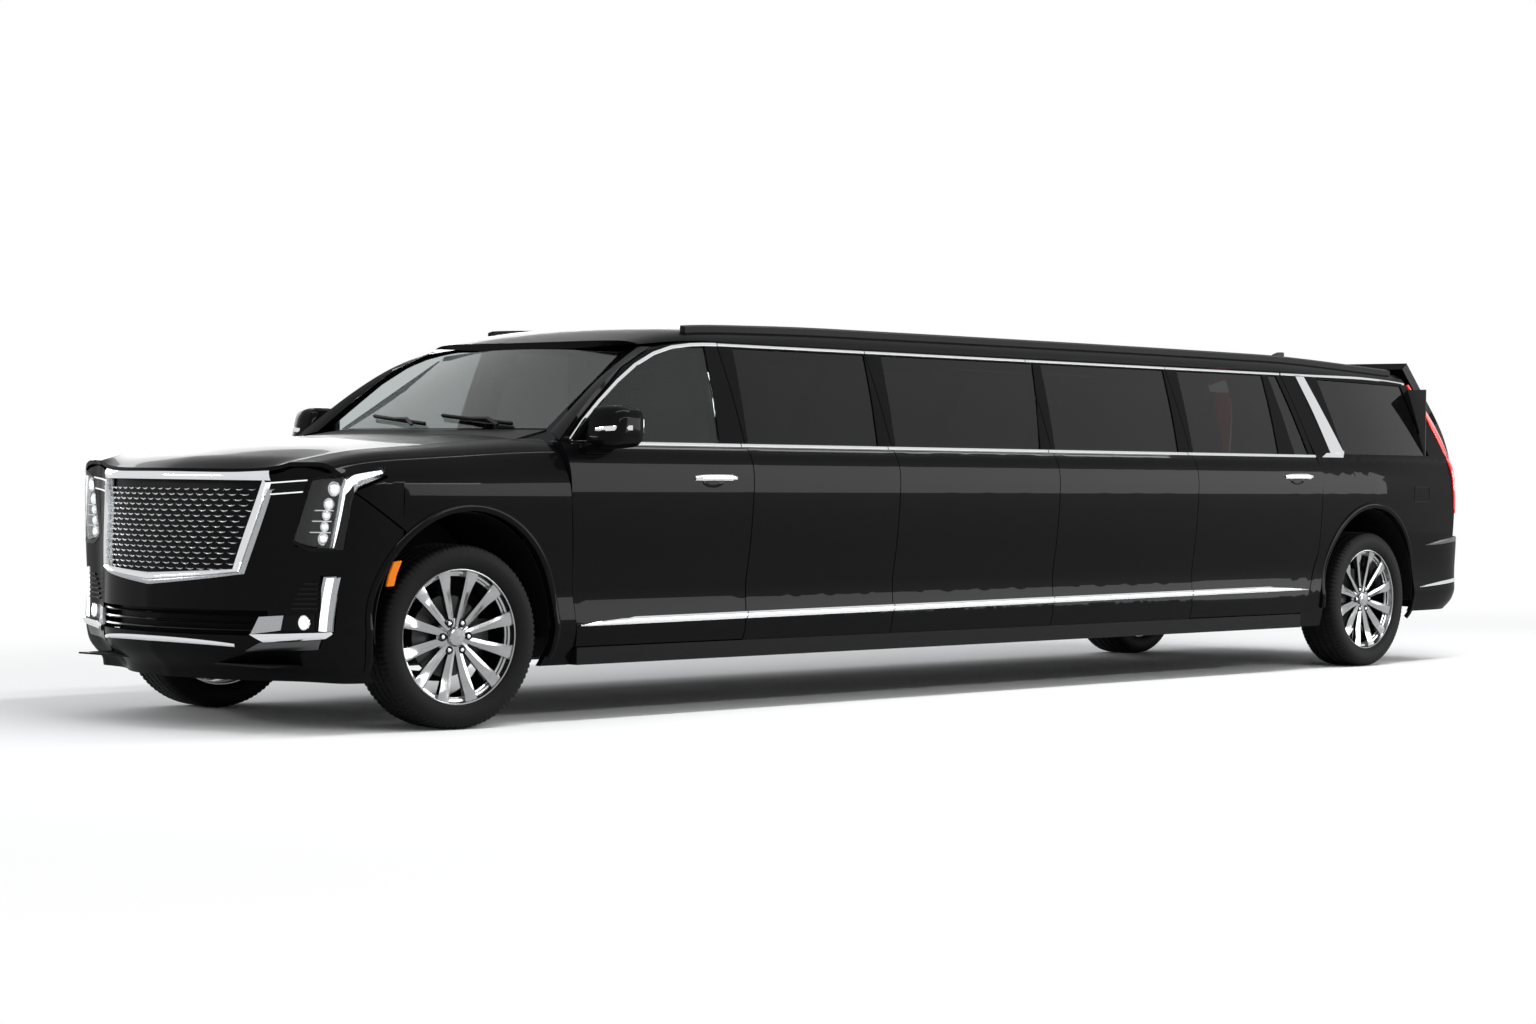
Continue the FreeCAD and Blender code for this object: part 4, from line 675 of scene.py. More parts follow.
def nose_way(half):
    """The plan parameter u at which the nose is that far from the middle plane."""
    table = np.linspace(0, 1, 400)
    reach = smooth(plan_half_shares, table) * half_width * .985
    return np.sign(half) * np.interp(np.abs(half), reach, table)


def dense(line, per=8):
    """A line with more points, the same number on each of its stretches."""
    return spread(line, (len(line) - 1) * per + 1)


def level(u, z):
    """A line of pairs (u, height), at one height."""
    return np.stack([u, z + 0 * u], -1)


def backing(name, low, high, counts, near, far, **more):
    """A dark plate behind an opening of the nose, between two depths."""
    u, z = np.meshgrid(np.linspace(-.40, .40, counts[0]), np.linspace(low, high, counts[1]),
                       indexing="ij")
    skin, outs = with_outs(nose_point, u, z)
    mesh_piece(name, plate(skin - outs * near, skin - outs * far), "root", "black_trim", trim,
               **more)


def grille_dashes():
    """Rows of small bars that thin out to their ends, each row shifted by half a step."""
    parts = []
    first_row, step_up, step_across, long, thick = .672, .0236, .060, .042, .0085
    section = [(-.004, -1), (.002, -1), (.006, 0), (.002, 1), (-.004, 1)]
    t = np.linspace(-1, 1, 7)
    for row in range(18):
        height = first_row + row * step_up
        limit = np.interp(height, [.655, .705, 1.12], [0, .502, .603]) - .058
        if height < .705:
            limit = (height - first_row) / .045 * .46 if height > first_row else -1
        for column in range(-12, 12):
            half = (column + .5 * (row % 2)) * step_across
            if abs(half) > limit:
                continue
            path, outs = with_outs(nose_point, nose_way(half + t * long / 2),
                                   height + .0045 * (t ** 2 - .5))
            parts.append(sweep(path - outs * .014, outs, section,
                               scale=thick / 2 * (1.15 - .75 * t ** 2)))
    mesh_piece("grille_dashes", merged(parts), "root", "chrome", chrome, crease=50)


def grille():
    """The grille with its bands, bar and dashes, and the intake with its slats below it."""
    outer, middle, inner = [dense(grille_edge(reach)) for reach in (-.012, .012, .040)]
    outer[:, 1] = np.minimum(outer[:, 1], 1.075)
    middle[:, 1] = np.minimum(middle[:, 1], 1.070)
    rows = len(outer)
    mesh_piece("grille_band_outer", patch(nose_point, outer, middle, .004, .03, rows, 4, .004),
               "root", "chrome", satin, hides=("grille_surround",))
    mesh_piece("grille_band_inner", patch(nose_point, middle, inner, .010, .03, rows, 5, -.006),
               "root", "chrome", chrome)
    u = np.linspace(-.375, .375, 61)
    high = np.stack([u * .985, 1.147 + .010 * smooth([(0, 0), (.25, 0), (.40, 1)], abs(u))], -1)
    mesh_piece("grille_top_bar", patch(nose_point, level(u, 1.112), high, .005, .03, 61, 6, .006),
               "root", "chrome", chrome)
    backing("grille_backing", .64, 1.13, (60, 30), .036, .044, hides=("grille",))
    grille_dashes()
    u = np.linspace(-.376, .376, 41)
    slats = [patch(nose_point, level(u, low), level(u, high), -.010, .04, 41, 3, .006)
             for low, high in ((.445, .457), (.480, .492), (.515, .527))]
    mesh_piece("intake_slats", merged(slats), "root", "black_trim", gloss)
    backing("intake_backing", .40, .57, (41, 6), .075, .08)
    u = np.linspace(-.285, .285, 49)
    fall = (np.abs(u) / .285) ** 2
    strip_low, strip_high = level(u, .392 - .012 * fall), level(u, .415 - .022 * fall)
    mesh_piece("bumper_strip", patch(nose_point, strip_low, strip_high, .007, .01, 49, 4, .003),
               "root", "chrome", chrome)


# Lamps.
def facing(out):
    """A direction of length one, and the two that lie across it."""
    out = unit(np.asarray(out, float))
    right = unit(np.cross((0, 0, 1), out))
    return out, right, np.cross(out, right)


def round_lens(centre, out, radius, depth, rings=5, count=20):
    """A small dome: rings of points that shrink towards its front, on a short barrel."""
    out, right, up = facing(out)
    turn = circle(count)
    rows = [(-depth, 1.0), (0, 1.0)] + [
        (depth * math.sin(way * math.pi / 2), math.cos(way * math.pi / 2) + .04)
        for way in np.linspace(.12, .96, rings)]
    grid = [centre + out * stand + radius * share
            * (np.cos(turn)[:, None] * right + np.sin(turn)[:, None] * up)
            for stand, share in rows]
    return tube(np.array(grid))


def ring_bezel(centre, out, radius, thick, count=28):
    """A round section carried round a circle that faces along out."""
    out, right, up = facing(out)
    turn, angle = circle(count)[:, None], circle(8)
    spoke = np.cos(turn) * right + np.sin(turn) * up
    section = np.stack([np.cos(angle), np.sin(angle)], -1) * thick
    rings = (centre + spoke[:, None] * (radius + section[None, :, :1])
             + out * section[None, :, 1:])
    return tube(rings, closed=True)


def headlamps():
    """The angled lamps: a bright core in its casing, a dark bucket and clear covers."""
    left_edge = [(-.588, .817), (-.604, .905), (-.618, .989), (-.631, 1.075), (-.652, 1.125),
                 (-.700, 1.150), (-.766, 1.163), (-.905, 1.176)]
    right_edge = [(-.653, .815), (-.668, .905), (-.682, .989), (-.698, 1.055), (-.716, 1.085),
                  (-.745, 1.103), (-.81, 1.122), (-.905, 1.146)]
    core_left = [(-.603, .820), (-.617, .905), (-.633, .989), (-.647, 1.075), (-.664, 1.118),
                 (-.718, 1.143), (-.786, 1.154), (-.868, 1.162)]
    core_right = [(-.633, .820), (-.647, .905), (-.663, .989), (-.677, 1.070), (-.694, 1.096),
                  (-.730, 1.118), (-.786, 1.132), (-.874, 1.146)]
    inner_edge = [(-.453, .841), (-.470, .925), (-.488, 1.01), (-.505, 1.08), (-.514, 1.118)]
    inner_far = [(-.595, .813), (-.610, .905), (-.622, .989), (-.636, 1.075), (-.652, 1.142)]
    casing = patch(corner_point, dense(left_edge, 5), dense(right_edge, 5), -.010, .03, 36, 6)
    core = patch(corner_point, dense(core_left, 5), dense(core_right, 5), -.003, .004, 36, 5,
                 .002)
    bucket = patch(corner_point, inner_edge, inner_far, -.045, .05, 12, 8)
    cover = patch(corner_point, inner_edge, inner_far, 0, .003, 16, 10)
    tip_cover = patch(corner_point, dense(left_edge, 5), dense(right_edge, 5), .003, .0005, 36, 6)
    base = patch(corner_point, [(-.453, .841), (-.507, .803), (-.600, .806), (-.662, .806)],
                 [(-.456, .853), (-.507, .822), (-.596, .822), (-.655, .822)], .002, .05, 14, 3)
    top = patch(corner_point, [(-.512, 1.112), (-.56, 1.128), (-.61, 1.138), (-.655, 1.146)],
                [(-.514, 1.122), (-.56, 1.140), (-.61, 1.151), (-.655, 1.160)], .002, .05, 14, 3)
    on_sides("headlamp_light", core, "root", "lamp_lens", light_bar)
    filler = patch(corner_point, [(-.425, .845), (-.44, .93), (-.455, 1.02), (-.475, 1.12)],
                   [(-.455, .841), (-.472, .925), (-.490, 1.01), (-.516, 1.125)], .001, .04, 12, 4)
    on_sides("headlamp_filler", filler, "root", "body_paint", paint)
    on_sides("headlamp_casing", casing, "root", "lamp_lens", satin)
    on_sides("headlamp_bucket", merged([bucket, base, top]), "root", "black_trim", gloss)
    covers = merged([cover, tip_cover])
    mesh_piece("headlamp_cover_right", mirrored(covers), "root", "lamp_lens", lens)
    mesh_piece("headlamp_cover_left", covers, "root", "lamp_lens", lens, hides=("headlamps",))


def projectors():
    """A column of small lenses in bright rings in each headlamp, and bars beside them."""
    domes, bezels, bars = [], [], []
    for u, z, radius in ((-.585, 1.080, .034), (-.561, 1.011, .028), (-.553, .963, .024),
                         (-.547, .912, .024), (-.543, .859, .030)):
        place, out = with_outs(corner_point, u, z)
        out = unit(out + np.array((-.6, 0, 0)))
        centre = place - out * .030
        domes.append(round_lens(centre, out, radius * .8, .013))
        bezels.append(ring_bezel(centre, out, radius * .92, .0035))
    for z, near, far in ((.984, -.520, -.600), (.937, -.512, -.590), (.888, -.505, -.588)):
        u = np.linspace(near, far, 9)
        path, outs = with_outs(corner_point, u, z)
        bars.append(sweep(path - outs * .012, outs,
                          [(-.010, -1), (.003, -1), (.003, 1), (-.010, 1)], scale=.0022))
    on_sides("headlamp_projectors", merged(domes), "root", "lamp_lens", projector)
    on_sides("headlamp_bezels", merged(bezels + bars), "root", "chrome", chrome)


def lamp_strips():
    """The slim dark strip between grille and headlamp, with bright lines round it."""
    slim_low = [(-.360, 1.045), (-.400, 1.049), (-.445, 1.054), (-.487, 1.060)]
    slim_high = [(-.372, 1.104), (-.41, 1.108), (-.46, 1.113), (-.500, 1.118)]
    on_sides("lamp_strip", patch(corner_point, slim_low, slim_high, .003, .02, 16, 4), "root",
             "black_trim", gloss)
    lines = [patch(corner_point, [(-.364, 1.047), (-.485, 1.061)],
                   [(-.365, 1.053), (-.486, 1.067)], .0055, .002, 12, 3),
             patch(corner_point, [(-.371, 1.098), (-.499, 1.112)],
                   [(-.372, 1.104), (-.500, 1.118)], .0055, .002, 12, 3),
             patch(corner_point, [(-.350, 1.043), (-.360, 1.103)],
                   [(-.366, 1.046), (-.378, 1.105)], .0055, .002, 8, 3)]
    on_sides("lamp_strip_lines", merged(lines), "root", "lamp_lens", light_line)


def corner_lights():
    """The upright corner lights, the louvers, the fog lamps and the bright parts below."""
    fog = patch(nose_point, [(-.568, .694), (-.531, .454)], [(-.654, .698), (-.609, .457)],
                -.004, .03, 12, 4)
    fog_core = patch(nose_point, [(-.585, .688), (-.547, .458)], [(-.618, .689), (-.578, .458)],
                     .003, .004, 12, 4, .002)
    fog_side = patch(nose_point, [(-.622, .690), (-.582, .458)], [(-.650, .694), (-.606, .460)],
                     .002, .004, 12, 4, .001)
    on_sides("corner_light_core", fog_core, "root", "lamp_lens", light_bar)
    on_sides("corner_light_case", merged([fog, fog_side]), "root", "lamp_lens", satin)
    louvers = [patch(nose_point, [(near, z - .005), (-.552, z - .002)],
                     [(near, z + .005), (-.552, z + .008)], .005, .004, 8, 3, .002)
               for z, near in ((.660, -.499), (.638, -.488), (.616, -.479), (.594, -.469),
                               (.572, -.462), (.551, -.455))]
    on_sides("corner_louvers", merged(louvers), "root", "black_trim", trim)
    fog_box = patch(nose_point, [(-.433, .520), (-.538, .529)], [(-.422, .456), (-.531, .456)],
                    .002, .01, 10, 4)
    on_sides("fog_lamp_box", fog_box, "root", "black_trim", gloss)
    place, out = with_outs(nose_point, -.498, .492)
    out = unit(out + np.array((-.5, 0, 0)))
    centre = place + out * .004
    on_sides("fog_lamp", round_lens(centre, out, .026, .010), "root", "lamp_lens", light_bar)
    on_sides("fog_lamp_ring", ring_bezel(centre, out, .030, .004), "root", "chrome", chrome)
    side_plate = patch(nose_point, [(-.333, .437), (-.359, .513)], [(-.421, .456), (-.433, .521)],
                       .006, .01, 8, 6)
    on_sides("corner_plate", side_plate, "root", "chrome", satin)
    blade = patch(nose_point, [(-.369, .404), (-.45, .410), (-.582, .427), (-.612, .448)],
                  [(-.331, .437), (-.43, .442), (-.560, .452), (-.608, .456)], .012, .01, 16, 5,
                  .004)
    on_sides("corner_blade", blade, "root", "chrome", chrome)
    lip = patch(nose_point, [(-.313, .362), (-.43, .366), (-.547, .377)],
                [(-.358, .400), (-.45, .406), (-.560, .422)], .005, .01, 14, 5, .003)
    on_sides("corner_lip", lip, "root", "chrome", dark_satin)
    amber = patch(side_point, [(-.455, .652), (-.447, .700), (-.425, .760)],
                  [(-.418, .655), (-.408, .705), (-.385, .765)], .006, .006, 10, 4, .002)
    on_sides("side_marker", amber, "root", "lamp_lens", amber_lens)


# Bright trim along the sides, split where the doors part.
strip_proud = .006
strip_section = [(-.004, -1), (.4, -1), (1, -.55), (1, .55), (.4, 1), (-.004, 1)]


def strip(name, back, z, half, body):
    """A bright strip on the skin along (back, height), half as wide as told."""
    path, outs = with_outs(side_point, back, z)
    section = [(stand * strip_proud, across) for stand, across in strip_section]
    on_sides(name, sweep(path, outs, section, half), body, "chrome", chrome)


def rear_skin(back, z):
    """A place on the left of the rear bumper, from its distance back and its height."""
    way = np.linspace(0, 1, 300)
    plan_back = wheelbase + rear_overhang * smooth(rear_back_shares, way)
    u = np.interp(back, plan_back[::-1], way[::-1])
    v = (z - tail_foot) / (tail_top * smooth(rear_top_shares, u) - tail_foot)
    return rear_point(-u, v)


def side_spans(start, end, count):
    """Stretches of the side from a place on the front door to one on the rear door, split
    at the seams: the name, the places and the body of each."""
    for name, near, far, body in (("front_door", start, seam_one, "front_door_"),
                                  ("centre_one", seam_one, seam_two, "root"),
                                  ("centre_two", seam_two, seam_three, "root"),
                                  ("centre_three", seam_three, seam_four, "root"),
                                  ("rear_door", seam_four, end, "rear_door_")):
        yield name, np.linspace(near + seam_gap, far - seam_gap, count), body


def side_trim():
    """Bright strips at the belt, over the windows and above the sill."""
    quarter = np.linspace(door_trail + seam_gap, 7.10 - seam_gap, 24)
    for name, back, body in [*side_spans(.661, door_trail, 24), ("quarter", quarter, "root")]:
        strip("belt_" + name, back, belt_height, .0095, body)
    quarter = np.linspace(6.795 + seam_gap, 8.26 - seam_gap, 24)
    for name, back, body in [*side_spans(1.62, 6.786, 24), ("quarter", quarter, "root")][1:]:
        z = 1.797 - .025 * np.clip((back - 7.6) / .7, 0, 1) ** 2
        strip("top_" + name, back, z, .0075, body)
    arc = dense([(.661, 1.310), (.76, 1.395), (.90, 1.496), (1.055, 1.596), (1.20, 1.676),
                 (1.351, 1.738), (1.49, 1.774), (1.625, 1.790), (1.72, 1.795), (1.812, 1.797)], 5)
    strip("window_arc", arc[:, 0], arc[:, 1], .0085, "front_door_")
    low_start, low_end, low_tall = .671, 6.798, .030
    for name, back, body in side_spans(low_start, low_end, 30):
        low = .446 + (.488 - .446) * (back - low_start) / (low_end - low_start)
        front = low_tall * np.clip((back - low_start + .02) / .30, 0, 1) ** .7
        rear = low_tall * np.clip((low_end + .02 - back) / .40, 0, 1) ** .7
        tall = np.where(back > 6.40, rear, front)
        share = np.where((back > 1.018) & (back < 6.399), 1.0, .8)
        solid = patch(side_point, np.stack([back, low], -1),
                      np.stack([back + .012, low + tall * share + .002], -1), .012, .004, 30, 5,
                      .004)
        on_sides("sill_strip_" + name, solid, body, "chrome", chrome)


def rear_trim():
    """The blade on the rear pillar, the tail lamps' outer bands, the strips on the bumper,
    the fuel door's seam and the lips of the arches."""
    blade = patch(side_point, [(6.955, 1.785), (7.02, 1.60), (7.111, 1.318)],
                  [(7.047, 1.785), (7.145, 1.56), (7.264, 1.318)], .006, .004, 16, 6, .004)
    foot = patch(side_point, [(7.00, 1.2905), (7.12, 1.2905), (7.235, 1.2905)],
                 [(7.06, 1.318), (7.16, 1.322), (7.268, 1.334)], .0065, .004, 12, 5, .003)
    on_sides("pillar_blade", merged([blade, foot]), "root", "chrome", chrome)
    edge = [(8.300, 1.770), (8.375, 1.66), (8.450, 1.545), (8.530, 1.415), (8.585, 1.30),
            (8.603, 1.20), (8.612, 1.08), (8.620, .975)]
    rear = [(8.322, 1.770), (8.40, 1.66), (8.478, 1.545), (8.562, 1.415), (8.617, 1.30),
            (8.629, 1.20), (8.631, 1.08), (8.631, .975)]
    on_sides("tail_lamp_band", patch(side_point, edge, rear, .005, .004, 40, 4, .002), "root",
             "red_lens", red_lens)
    upper = patch(rear_skin, [(8.180, .745), (8.40, .752), (8.66, .770)],
                  [(8.185, .749), (8.40, .778), (8.66, .800)], .004, .01, 30, 4, .003)
    lower = patch(rear_skin, [(8.130, .478), (8.40, .490), (8.66, .505)],
                  [(8.133, .483), (8.40, .510), (8.66, .530)], .006, .01, 30, 4, .003)
    on_sides("rear_corner_shelf", upper, "root", "chrome", dark_satin)
    on_sides("rear_corner_strip", lower, "root", "chrome", chrome)
    door = [(8.050, 1.022), (8.246, 1.022), (8.257, 1.035), (8.257, 1.10), (8.245, 1.116),
            (8.062, 1.116), (8.050, 1.10), (8.050, 1.022)]
    line = dense(door, 4)
    path, outs = with_outs(side_point, line[:, 0], line[:, 1])
    section = [(-.004, -1), (.0006, -1), (.0006, 1), (-.004, 1)]
    mesh_piece("fuel_door_seam", sweep(path, outs, section, .0016), "root", "black_trim", trim)
    for name, centre, start, end in (("front", 0, -18, 196), ("rear", wheelbase, -8, 198)):
        near, far = [arch_line(centre, arch_radius + reach, start, end, 72)
                     for reach in (-.001, .034)]
        solid = patch(side_point, near, far, .004, .012, 72, 6, .005)
        on_sides(name + "_arch_lip", solid, "root", "body_paint", paint)


def handles():
    """A bright grip on each door, over a dark cup."""
    way, turn = np.linspace(-1, 1, 25), circle(40)
    section = [(-.006, -.8), (-.001, -1), (.005, -.6), (.0065, 0), (.005, .6), (-.001, 1),
               (-.006, .8)]
    for name, start, height in (("front", 1.446, 1.138), ("rear", 6.543, 1.172)):
        path, outs = with_outs(side_point, start + .15 + way * .15, height + .003 * (1 - way ** 2))
        stand = .019 * (1 - way ** 6)
        grip = sweep(path + outs * stand[:, None], outs, section, .0145 * (1 - .3 * way ** 6))
        on_sides(name + "_grip", grip, name + "_door_", "chrome", chrome,
                 hides=(name + "_handle_",))
        rings = []
        for stand, share in ((-.006, 1), (.0035, 1), (.0045, .93), (.001, .8), (-.001, .2)):
            edge, outs = with_outs(side_point, start + .125 + .075 * share * np.cos(turn),
                                   height - .012 + .034 * share * np.sin(turn))
            rings.append(edge + outs * stand)
        on_sides(name + "_grip_cup", tube(np.array(rings)), name + "_door_", "black_trim", gloss)


def mirrors():
    """Housing: rounded rectangles that swell and shrink across the body, from its inner end
    to its outer one. A bright blade runs round its lower third and a foot holds it."""
    across, up = rounded(40, .45)
    rings = []
    for way, length, height in ((0, .040, .060), (.03, .075, .085), (.12, .098, .098),
                                (.4, .110, .102), (.75, .106, .096), (.92, .085, .078),
                                (.985, .055, .052), (1, .03, .03)):
        back = .825 + .03 * way + length * across
        z = 1.375 + height * up
        back = back + .25 * (z - 1.375) * (back < .825)
        rings.append(np.stack([axle_x + back, -(1.000 + .195 * way) + 0 * back, z], -1))
    foot = tube(np.array([[(axle_x + .80 + dx * wide, y, z + dz * tall) for dx, dz in
                           ((-1, -1), (1, -1), (1.2, 0), (1, 1), (-1, 1), (-1.3, 0))]
                          for y, z, wide, tall in ((-.955, 1.268, .085, .026),
                                                   (-1.00, 1.272, .080, .026),
                                                   (-1.04, 1.285, .070, .024),
                                                   (-1.08, 1.300, .060, .022))]))
    glass = tube(np.stack([np.stack([axle_x + back + 0 * up, -1.100 + .085 * .82 * across,
                                     1.378 + .075 * .8 * up], -1) for back in (.935, .9485)]))
    way = np.linspace(0, 1, 24)
    path = np.stack([axle_x + .728 + .12 * way ** 5, -(1.075 + .122 * way),
                     1.358 + .012 * way], -1)
    outs = unit(np.stack([-1 + 0 * way, -way ** 4, 0 * way], -1))
    blade = sweep(path, outs, [(-.012, -1), (.004, -1), (.006, 0), (.004, 1), (-.012, 1)], .011)
    on_sides("mirror_housing", merged([tube(np.array(rings)), foot]), "front_door_",
             "body_paint", paint, hides=("mirror_",))
    on_sides("mirror_glass", glass, "front_door_", "chrome", chrome)
    on_sides("mirror_blade", blade, "front_door_", "chrome", chrome)


# Wheels. Places are along the axle, from the wheel's middle plane out, and round it.
def wheel_frame(axle, side, steered):
    """A wheel's middle, its axle's direction out of the body, and the one ahead."""
    turn = rest_steer if steered else 0
    out = side * np.array([math.sin(turn), math.cos(turn), 0])
    pivot = np.array([axle_x + axle, side * kingpin_half, tyre_radius])
    return pivot + (track_half - kingpin_half) * out, out, np.cross(out, (0, 0, 1))


def on_wheel(at, along, radius, turn):
    """Points from places along the axle, radii and angles."""
    centre, out, ahead = at
    along, radius, turn = np.broadcast_arrays(along, radius, turn)
    spin = np.cos(turn)[..., None] * ahead + np.sin(turn)[..., None] * np.array((0, 0, 1.0))
    return centre + along[..., None] * out + radius[..., None] * spin


def turned(at, profile, count=120):
    """A closed profile of (along, radius) pairs, turned round the axle."""
    profile = np.asarray(profile, float)
    turn = circle(count)[:, None]
    return tube(on_wheel(at, profile[None, :, 0], profile[None, :, 1], turn), closed=True)


def tyre(at, place):
    """Round sidewalls, and a tread with four grooves and a row of cuts on each shoulder."""
    half = [(.112, .3035), (.121, .306), (.129, .314), (.1355, .330), (.1385, .348),
            (.139, .364), (.1365, .381), (.131, .395), (.1235, .4065), (.114, .4125),
            (.100, .4155), (.086, .4162)]
    grooves = []
    for middle in (.070, .024, -.024, -.070):
        grooves += [(middle + .0055, .4168), (middle + .0045, .4095), (middle - .0045, .4095),
                    (middle - .0055, .4168)]
    profile = half + grooves + [(-a, r) for a, r in half[::-1]] + [(-.095, .300), (.095, .300)]
    count = 288
    turn = circle(count)[:, None]
    along, radius = [np.array(column)[None] + 0 * turn for column in zip(*profile)]
    step = (np.arange(count) % 3)[:, None]
    shoulder = (np.abs(along) > .084) & (radius > .393)
    radius = radius - np.where((step == 0) & shoulder, .0060, 0)
    middle = (np.abs(along) < .066) & (radius > .415)
    radius = radius - np.where((step == 1) & middle, .003, 0)
    mesh_piece("tyre_" + place, tube(on_wheel(at, along, radius, turn), closed=True),
               "wheel_" + place, "tyre_rubber", rubber, crease=40, hides=("tyre_" + place,))


def rim(at, place):
    """A barrel with a thin outer lip, twelve spokes that flare to it, a cap, lug nuts in gloss
    black rings of painted shade, and a brake disc."""
    body = "wheel_" + place
    barrel = [(-.118, .3085), (-.118, .300), (-.10, .290), (.04, .277), (.068, .2715),
              (.076, .2735), (.079, .2815), (.088, .2830), (.091, .2925), (.103, .2965),
              (.1165, .2995), (.1195, .3035), (.1185, .3085)]
    parts = [turned(at, barrel)]
    way = np.linspace(0, 1, 22)
    radius = (.040 + (.3000 - .040) * way)[:, None]
    wide = smooth([(0, .0095), (.12, .0140), (.3, .0178), (.6, .0215), (.85, .0275), (1, .0325)],
                  way)
    face = smooth([(0, .088), (.15, .089), (.5, .096), (.8, .104), (1, .1085)], way)
    step = smooth([(0, .004), (.3, .006), (.6, .010), (.75, .006), (.85, .001), (1, .0005)], way)
    ridge = smooth([(0, -.1), (.5, -.25), (.75, -.6), (1, -1)], way)
    across = np.stack([-wide * 1.02, -wide, wide * ridge * .9, wide * .55, wide, wide * 1.02,
                       wide * .5, -wide * .5], 1)
    depth = np.stack([face - .030, face - .004, face, face - step, face - step - .004,
                      face - .030, face - .040, face - .040], 1)
    spokes = 12
    for index in range(spokes):
        turn = 2 * math.pi * (index + .5) / spokes
        parts.append(tube(on_wheel(at, depth, np.hypot(radius, across),
                                   turn + np.arctan2(across, radius))))
    hub = [(.020, .026), (.020, .092), (.064, .090), (.074, .083), (.078, .070), (.080, .050),
           (.082, .026)]
    parts.append(turned(at, hub, 60))
    mesh_piece("rim_" + place, merged(parts), body, "wheel_metal", wheel_metal, crease=24,
               hides=("rim_" + place,))
    cap = [(.070, .002), (.070, .046), (.093, .046), (.1005, .041), (.1035, .034), (.1045, .002)]
    mesh_piece("cap_" + place, turned(at, cap, 12), body, "wheel_metal", wheel_metal, crease=10)
    nuts, shade_rings = [], []
    for index in range(6):
        turn = 2 * math.pi * index / 6
        nuts.append(round_lens(on_wheel(at, .083, .0690, turn), at[1], .0120, .013, 4, 12))
        # Gloss black rings round each nut: painted shade of the recess that the nut sits in, where
        # the hub has no hole.
        shade_rings.append(ring_bezel(on_wheel(at, .0885, .0690, turn), at[1], .0155, .0030, 20))
    mesh_piece("nuts_" + place, merged(nuts), body, "chrome", chrome)
    mesh_piece("nut_shade_rings_" + place, merged(shade_rings), body, "black_trim", gloss)
    brake = [(-.010, .075), (.012, .075), (.012, .185), (-.010, .185)]
    mesh_piece("brake_" + place, turned(at, brake, 72), body, "cast_metal", iron)


def wheels():
    """The four wheels, and a brake caliper at each that doesn't turn with it."""
    turn = np.linspace(math.radians(-35), math.radians(35), 14)[:, None]
    profile = np.array([(-.035, .115), (.040, .115), (.046, .150), (.040, .205), (-.035, .205)])
    for name, axle, side, steered in (("front_left", 0, -1, 1), ("front_right", 0, 1, 1),
                                      ("rear_left", wheelbase, -1, 0),
                                      ("rear_right", wheelbase, 1, 0)):
        at = wheel_frame(axle, side, steered)
        tyre(at, name)
        rim(at, name)
        grid = on_wheel(at, profile[None, :, 0], profile[None, :, 1],
                        (math.pi if side > 0 else 0) + turn)
        mesh_piece("caliper_" + name, tube(grid), "knuckle_" + name[6:] if steered else "root",
                   "cast_metal", iron)


# Wheel houses, cowl and wipers, with the windshield's outer face as the wipers need it.
screen_foot_half, screen_top_half = .745, .640
screen_foot_back, screen_top_back, screen_bow = .650, 1.240, .075
screen_foot_height, screen_top_height = 1.362, 1.768
wall_half, wall_thick = .520, .003


def under_parts():
    """Liners round the wheels, walls inside the front ones, the engine's tray and the cowl."""
    liners = []
    for centre in (0, wheelbase):
        back, z = arch_line(centre, arch_radius - .004, -6, 186, 40).T
        for side, word in SIDES:
            grid = np.stack([np.stack([axle_x + back, side * reach + 0 * back, z], -1)
                             for reach in (.52, .70, .985)], 1)
            outs = unit((grid - np.array((axle_x + centre, 0, arch_height))) * (1, 0, 1))
            liners.append(plate(grid, grid - outs * .004))
    wall = arch_line(0, arch_radius - .003, -14, 194, 40) + (axle_x, 0)
    for side, word in SIDES:
        liners.append(prism(wall, side * wall_half - wall_thick, side * wall_half + wall_thick, 1))
    tray = [(-.88, -.70), (-.56, -.70), (-.54, -.515), (.60, -.515), (.60, .515), (-.54, .515),
            (-.56, .70), (-.88, .70)]
    liners.append(prism([(axle_x + back, half) for back, half in tray], .295, .303, 2))
    mesh_piece("wheel_houses", merged(liners), "root", "black_trim", trim)
    across = np.linspace(-1, 1, 33)[None, :]
    way = np.linspace(0, 1, 8)[:, None, None]
    start = hood_point(1 + 0 * across, across) + np.array((.006, 0, -.003))
    end = np.stack([axle_x + screen_foot_back + screen_bow * across ** 2,
                    screen_foot_half * across, screen_foot_height - .001 + 0 * across], -1)
    grid = start * (1 - way) + end * way
    mesh_piece("cowl_panel", plate(grid, grid - np.array((0, 0, .012))), "root", "black_trim",
               trim)


def glass_point(across, way):
    """The windshield's outer face: across from -1 to 1 and up with way."""
    half = screen_foot_half + (screen_top_half - screen_foot_half) * way
    back = screen_foot_back + (screen_top_back - screen_foot_back) * way
    z = screen_foot_height + (screen_top_height - screen_foot_height) * way
    return np.stack([axle_x + back + screen_bow * across ** 2, half * across, z], -1)


